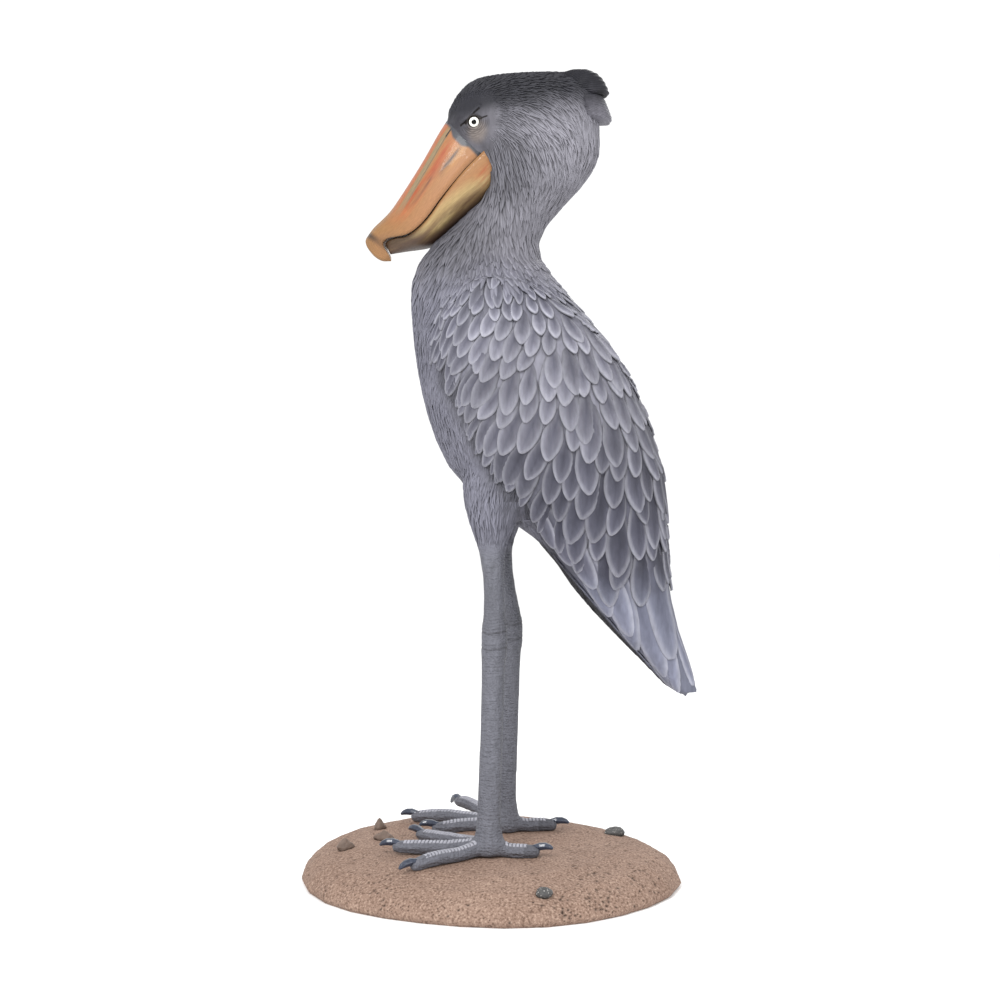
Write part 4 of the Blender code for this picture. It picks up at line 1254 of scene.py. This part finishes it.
# Each stroke is its colour, its strength, how much the brush's streaks break it up, and where it lies, in
# millimetres along the bill, from the ridge, on the streaks' slant, or from the foot of the section.
# A place of two numbers fades in from the first to the second, and one of three is a band with a soft edge.
UPPER_STROKES = [
    (BILL_GOLD, 1, 2.0, {"slanted": (40, 62, 8), "along": (14, 60, 14)}),
    (BILL_ORANGE, 1, 2.2, {"slanted": (28, 53, 6), "along": (190, 150)}),
    (BILL_RED, 1, 3.0, {"slanted": (34, 47, 5), "along": (18, 140, 16)}),
    (BILL_BROWN, 1, 3.0, {"slanted": (48, 58, 5), "along": (22, 66, 14)}),
    (BILL_BROWN, 1, 3.0, {"slanted": (43, 49, 3), "along": (80, 128, 14)}),
    (BILL_GREEN, 0.85, 0, {"gap": (15.5, 24.5, 1.8), "along": (6, 140, 28)}),
    (BILL_ORANGE, 1, 0, {"gap": (16.5, 13), "along": (168, 120)}),
    (BILL_OCHRE, 0.85, 0.8, {"along": (140, 186)}),
    (BILL_DARK, 0.85, 0, {"along": (197, 205, 4), "gap": (40, 6)}),
    (BILL_BROWN, 0.7, 0, {"gap": (22.0, 23.0, 0.7), "along": (150, 60)}),
    (BILL_DARK, 1, 0, {"gap": (21.2, 23.8, 0.6), "along": (4, 20, 2)}),
    (BILL_GREY, 1, 0, {"from_base": (3.5, -2)}),
]
LOWER_STROKES = [
    (BILL_OCHRE, 1, 2.0, {"gap": (34, 14)}),
    (BILL_BROWN, 1, 2.0, {"gap": (24, 8)}),
    (BILL_RED, 1, 2.6, {"along": (62, 26), "gap": (10, 36, 7)}),
    (BILL_BROWN, 1, 0, {"gap": (10, 1)}),
    (BILL_TAN, 0.6, 0, {"foot": (5, 2)}),
    (BILL_BROWN, 0.8, 0, {"along": (138, 176), "gap": (1, 9)}),
]
# Along the gape: a dark line at the foot of each half, and painted shade on the halves' inner floors behind
# the hook
LIP_STROKES = [
    (BILL_DARK, 0.8, 0, {"foot": (-0.6, 0.15, 0.25), "along": (200, 186)}),
    (BILL_BROWN, 1, 0, {"foot": (-1, -3), "along": (200, 186)}),
]

bill = Paint("bill_coat")
measures = {title: bill.attribute(title) for title in ("along", "gap", "foot", "upper")}
along, gap = measures["along"], measures["gap"]
measures["slanted"] = bill.calc("ADD", gap, bill.times(along, STREAK_SLANT))
grey_edge = bill.times(bill.band(gap, 27, 58, 8), GREY_REACH)
from_slant = bill.calc("SUBTRACT", along, bill.times(gap, BASE_SLANT))
measures["from_base"] = bill.calc("SUBTRACT", from_slant, grey_edge)
brushed = bill.combined(bill.times(along, 0.012), bill.times(measures["slanted"], 0.10), measures["upper"])
streaks = bill.speckle(brushed, 1.6, 5)
fine = bill.speckle(brushed, 9, 4)


def stroke_over(paint, strokes):
    """Brushes strokes over a paint, one after the other."""
    for colour, strength, broken, limits in strokes:
        mask = None
        for title, limit in limits.items():
            edge = bill.band if len(limit) == 3 else bill.fade
            within = edge(measures[title], *limit)
            mask = bill.times(mask, within) if mask else within
        if strength < 1:
            mask = bill.times(mask, strength)
        if broken:
            mask = bill.times(mask, bill.scaled(streaks, broken, 0.5 - broken * 0.5), True)
        paint = bill.blend(mask, paint, colour)
    return paint


upper_paint = stroke_over(bill.blend(bill.fade(measures["foot"], 30, 8), BILL_TAN, BILL_PEACH), UPPER_STROKES)
lower_paint = stroke_over(bill.blend(bill.fade(gap, 18, 40), BILL_YELLOW, BILL_TAN), LOWER_STROKES)
whole_paint = stroke_over(bill.blend(measures["upper"], lower_paint, upper_paint), LIP_STROKES)
bill.deliver(bill.shaded(whole_paint, bill.scaled(fine, 0.7, 0.65)), fine)
bill_paint = bill.finish("bill_paint", roughness=0.5, bump=0.35, distance=0.6 * MM, coat=0.08)
make_bill("bill_upper", UPPER_SECTIONS, True)
make_bill("bill_lower", LOWER_SECTIONS, False)

# Eyes: glossy painted balls, each a white ring round a black pupil, set in the openings of the lids.
# The white is slightly mottled, and a dark line closes it off from the lid.
GAZE = Vector((0.10, -1.0, -0.17)).normalized()
PUPIL = 3.75
IRIS = 7.3
BEHIND_BALL = 20.0
IRIS_CREAM, IRIS_WHITE = (0.78, 0.76, 0.68, 1), (0.9, 0.89, 0.84, 1)
PUPIL_BLACK, EYE_RIM = (0.004, 0.004, 0.004, 1), (0.02, 0.015, 0.012, 1)
eye_coat = Paint("eye_coat")
off_axis = eye_coat.attribute("off_axis")
mottled = eye_coat.speckle(eye_coat.place(), 900, 3)
iris = eye_coat.blend(mottled, IRIS_CREAM, IRIS_WHITE)
iris = eye_coat.blend(eye_coat.fade(off_axis, PUPIL + 0.15, PUPIL - 0.1), iris, PUPIL_BLACK)
eye_coat.deliver(eye_coat.blend(eye_coat.fade(off_axis, IRIS - 0.5, IRIS), iris, EYE_RIM), mottled)
eye_paint = eye_coat.finish("eye_paint", roughness=0.1, bump=0.02, distance=0.1 * MM, gloss=0.15)
for side, sign in (("left", -1), ("right", 1)):
    shape = bmesh.new()
    bmesh.ops.create_uvsphere(shape, u_segments=72, v_segments=48, radius=EYE_RADIUS)
    turned = Vector((GAZE.x, GAZE.y * -sign, GAZE.z)).to_track_quat("Z", "Y").to_matrix()
    offsets = [math.hypot(v.co.x, v.co.y) / MM if v.co.z > 0 else BEHIND_BALL for v in shape.verts]
    for vertex in shape.verts:
        vertex.co = turned @ vertex.co + Vector((EYE_PLACE.x, sign * EYE_PLACE.y, EYE_PLACE.z))
    mesh = bpy.data.meshes.new(f"eyeball_{side}")
    shape.to_mesh(mesh)
    shape.free()
    store(mesh, "off_axis", offsets)
    mesh.materials.append(eye_paint)
    eye = bpy.data.objects.new(f"eyeball_{side}", mesh)
    scene.collection.objects.link(eye)
    give(eye, "eye_paint", f"eye_{side}")

# Claws: cast on the toes and painted blue-black, with a satin sheen.
# Their roots reach back into the toe ends, so that the skin closes round them.
CLAW_DARK, CLAW_BLUE = (0.008, 0.011, 0.020, 1), (0.05, 0.062, 0.098, 1)
CLAW_CELL = 0.8 * MM
CLAW_FILL = 0.15 * MM
CLAW_SPAN = 28 * MM
CLAW_ROOT_REACH = 7 * MM
CLAW_ROOT_BACK = 5 * MM
CLAW_ROOT_DOWN = 1.6 * MM
claw_coat = Paint("claw_coat")
claw_tone = claw_coat.speckle(claw_coat.place(), 240, 4)
claw_coat.deliver(claw_coat.blend(claw_tone, CLAW_DARK, CLAW_BLUE), claw_tone)
claw_names = [name for name in sorted(nodes) if name.startswith("claw")]
claws = shell_over(claw_names, CLAW_CELL, CLAW_FILL, 6, "claws")
claw_points, _ = points_of(claws)
for (hub_y, hub_x, turn, length), end in zip(TOES, toe_ends):
    hub, ahead = toe_line(hub_y, hub_x, turn)
    own = np.linalg.norm(claw_points[:, :2] - np.array(end)[:2], axis=1) < CLAW_SPAN
    out = (claw_points - np.array(hub)) @ np.array(ahead)
    share = np.clip(1 - (out - out[own].min()) / CLAW_ROOT_REACH, 0, 1) * own
    claw_points -= share[:, None] * (np.array(ahead) * CLAW_ROOT_BACK + np.array((0, 0, CLAW_ROOT_DOWN)))
move_points(claws, claw_points)
claw_paint = claw_coat.finish("claw_paint", roughness=0.32, bump=0.3, distance=0.4 * MM, coat=0.3)
claws.data.materials.append(claw_paint)
give(claws, "claw_paint", *claw_names)

# Scutes: small raised plates in a row along the top of each toe, cast with it and brushed paler.
# Each is a little bowed across the toe, and its edges go down into the skin.
SCUTE_PITCH = 5.3
SCUTE_LENGTH = 5.088
SCUTE_HALF_WIDTH = 7.2
SCUTE_RISE, SCUTE_SINK = 1.15, -0.7
SCUTE_BOW = -0.25
FIRST_SCUTE, LAST_SCUTE = 27, 12
SCUTE_ACROSS = (-1, -0.85, -0.4, 0, 0.4, 0.85, 1)
SCUTE_ALONG = (-0.5, -0.36, 0, 0.36, 0.5)
SCUTE_PATCH_ASIDE, SCUTE_PATCH_ALONG = 0.31, 0.23
STEEPEST = 0.020
ABOVE_TOES = Vector((0, 0, 0.16))
DOWN = Vector((0, 0, -1))


def lay_scute(piece, middle, ahead):
    """Lays one plate on the toe, unless it would run off the toe's side."""
    aside = Vector((-ahead.y, ahead.x, 0))
    grid = []
    for b in SCUTE_ALONG:
        for a in SCUTE_ACROSS:
            bow = SCUTE_BOW * (1 - a * a)
            spot = middle + ahead * ((b + bow) * SCUTE_LENGTH * MM) + aside * (a * SCUTE_HALF_WIDTH * MM)
            hit, normal, face, _ = outline.ray_cast(spot + ABOVE_TOES, DOWN)
            if not hit:
                return
            inner = abs(a) < 1 and abs(b) < 0.5
            grid.append((hit + normal * (SCUTE_RISE if inner else SCUTE_SINK) * MM, face, inner))
    heights = [spot.z for spot, _, _ in grid]
    if max(heights) - min(heights) > STEEPEST:
        return
    first, columns = len(piece["points"]), len(SCUTE_ACROSS)
    corner = face_places[grid[len(grid) // 2][1]]
    for k, (spot, face, inner) in enumerate(grid):
        aside = SCUTE_PATCH_ASIDE * (k % columns - columns // 2)
        along = SCUTE_PATCH_ALONG * (k // columns - len(SCUTE_ALONG) // 2)
        # Paler on the raised plate, and painted shade on its edges where they go down into the skin
        rim, dark = (0.9, 0.0) if inner else (0.0, 0.8)
        add_point(piece, spot, rim, 0.0, dark, 0.0, corner, aside, along)
    for row in range(len(SCUTE_ALONG) - 1):
        for column in range(columns - 1):
            k = first + row * columns + column
            piece["faces"].append((k, k + columns, k + columns + 1, k + 1))


scutes = new_piece()
for hub_y, hub_x, turn, length in TOES:
    hub, ahead = toe_line(hub_y, hub_x, turn)
    for number in range(int((length - LAST_SCUTE - FIRST_SCUTE) / SCUTE_PITCH)):
        lay_scute(scutes, hub + ahead * (FIRST_SCUTE + number * SCUTE_PITCH) * MM, ahead)
make_coat("toe_scutes", scutes)

# Sand base: filled resin cast from raked sand, with fine grains all over and small pits, painted a pinkish
# sand colour. The pits lie in loose clumps, more of them behind the bird, and each is painted very dark
# brown.
SAND_DARK, SAND_PINK = (0.192, 0.122, 0.090, 1), (0.276, 0.187, 0.143, 1)
GRAIN_DARK, GRAIN_PALE = (0.092, 0.052, 0.036, 1), (0.41, 0.30, 0.235, 1)
DOT_BROWN, PIT_BROWN = (0.06, 0.035, 0.025, 1), (0.02, 0.012, 0.009, 1)
sand_coat = Paint("sand_coat")
sand_place = sand_coat.place()
rough = sand_coat.speckle(sand_place, 330, 4)
sand_tone = sand_coat.blend(sand_coat.speckle(sand_place, 14, 4), SAND_DARK, SAND_PINK)
sand_tone = sand_coat.blend(sand_coat.times(sand_coat.fade(rough, 0.47, 0.36), 0.75), sand_tone, GRAIN_DARK)
sand_tone = sand_coat.blend(sand_coat.times(sand_coat.fade(rough, 0.54, 0.66), 0.6), sand_tone, GRAIN_PALE)
clumped = sand_coat.fade(sand_coat.speckle(sand_place, 36, 3), 0.44, 0.6)
dots = sand_coat.times(sand_coat.fade(sand_coat.pebbled(sand_place, 190), 0.26, 0.12), clumped)
sand_tone = sand_coat.blend(sand_coat.times(dots, 0.8), sand_tone, DOT_BROWN)
sand_tone = sand_coat.blend(sand_coat.attribute("pit"), sand_tone, PIT_BROWN)
sand_coat.deliver(sand_tone, sand_coat.calc("SUBTRACT", rough, dots))

SAND_CELL = 2.3 * MM
SAND_SMOOTHING = 3
SAND_EDGE = 2.5 * MM
GRAIN_DEPTH = 0.45 * MM
PIT_DEPTH = 1.8 * MM
PIT_COUNT = 420
PIT_SIZES = (1.0, 2.2)
UNDERSIDE = 0.6 * MM


def rough_noise(places, scale, share, finer):
    """Noise at each place, with a share of finer noise on it."""
    return np.array([noise.noise(Vector(p) * scale) + share * noise.noise(Vector(p) * finer) for p in places])


sand = shell_over(["sand_base"], SAND_CELL, 0, SAND_SMOOTHING, "sand")
sand_points, sand_normals = points_of(sand)
top = sand_points[:, 2] > SAND_EDGE
grain = rough_noise(sand_points, 290, 0.6, 90)
sand_points += sand_normals * (grain * GRAIN_DEPTH * top)[:, None]
pit = np.zeros(len(sand_points))
chance = np.random.default_rng(5)
upward = np.flatnonzero(top & (sand_normals[:, 2] > 0.25))
clump = np.array([0.5 + noise.noise(Vector(sand_points[i]) * 17) for i in upward])
clump = np.clip(clump + 0.5 * (sand_points[upward, 0] > 0.12), 0.02, None) ** 2.5
for i in chance.choice(upward, PIT_COUNT, replace=False, p=clump / clump.sum()):
    reach = chance.uniform(*PIT_SIZES) * MM
    pit = np.maximum(pit, np.exp(-(((sand_points - sand_points[i]) ** 2).sum(1) / reach**2)))
sand_points -= sand_normals * (pit * PIT_DEPTH)[:, None]
sand_points[~top, 2] = np.maximum(sand_points[~top, 2], 0)
move_points(sand, sand_points)
store(sand.data, "pit", pit)
shape = bmesh.new()
shape.from_mesh(sand.data)
below = [face for face in shape.faces if face.calc_center_median().z < UNDERSIDE and face.normal.z < -0.9]
bmesh.ops.dissolve_faces(shape, faces=below, use_verts=True)
shape.to_mesh(sand.data)
shape.free()
sand.data.materials.append(sand_coat.finish("sand_paint", roughness=0.85, bump=0.7, distance=1.2 * MM))
give(sand, "sand_paint", "sand_base")

# Stones: three sharp-edged ones of grey-brown rock and two flat dark pebbles with pale flecks.
# They are cast with the base and stand a little out of the sand.
ROCK_DARK, ROCK_PALE = (0.06, 0.042, 0.033, 1), (0.21, 0.15, 0.12, 1)
PEBBLE_DARK, PEBBLE_PALE = (0.022, 0.022, 0.023, 1), (0.11, 0.108, 0.105, 1)
FLECK_WHITE = (0.6, 0.58, 0.55, 1)
STONE_CELL = 0.9 * MM
ROCKS = 3
ROCK_REACH = 9 * MM
ROCK_PEAK = 3.2 * MM
ROCK_TAPER = 0.35
ROCK_ROUGH, PEBBLE_ROUGH = 0.9 * MM, 0.3 * MM
stone_coat = Paint("stone_coat")
stone_place = stone_coat.place()
stone_tone = stone_coat.speckle(stone_place, 110, 5)
flecks = stone_coat.fade(stone_coat.speckle(stone_place, 420, 3), 0.62, 0.70)
rock = stone_coat.blend(stone_tone, ROCK_DARK, ROCK_PALE)
pebble = stone_coat.blend(flecks, stone_coat.blend(stone_tone, PEBBLE_DARK, PEBBLE_PALE), FLECK_WHITE)
stone_coat.deliver(stone_coat.blend(stone_coat.attribute("pebble"), rock, pebble), stone_tone)
stone_paint = stone_coat.finish("stone_paint", roughness=0.6, bump=0.6, distance=1.5 * MM)
for number in (1, 2, 3, 4, 5):
    stone = shell_over([f"stone_{number}"], STONE_CELL, 0, 2, f"stone_shell_{number}")
    stone_points, _ = points_of(stone)
    sharp = number <= ROCKS
    if sharp:
        middle = stone_points.mean(0)
        away = np.linalg.norm((stone_points - middle)[:, :2], axis=1) / ROCK_REACH
        raised = np.clip((stone_points[:, 2] - middle[2]) / (stone_points[:, 2].max() - middle[2]), 0, 1)
        stone_points[:, 2] += ROCK_PEAK * raised * np.exp(-((away - 0.15) ** 2) / 0.3)
        stone_points[:, :2] = middle[:2] + (stone_points - middle)[:, :2] * (1 - ROCK_TAPER * raised[:, None])
    stone_normals = np.array([v.normal for v in stone.data.vertices])
    roughness = rough_noise(stone_points, 160, 0.5, 420) * (ROCK_ROUGH if sharp else PEBBLE_ROUGH)
    move_points(stone, stone_points + stone_normals * roughness[:, None])
    store(stone.data, "pebble", [float(not sharp)] * len(stone_points))
    stone.data.materials.append(stone_paint)
    give(stone, "stone_paint", f"stone_{number}")

[[list(corner) for corner in box] for box in (cad_box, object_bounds())]
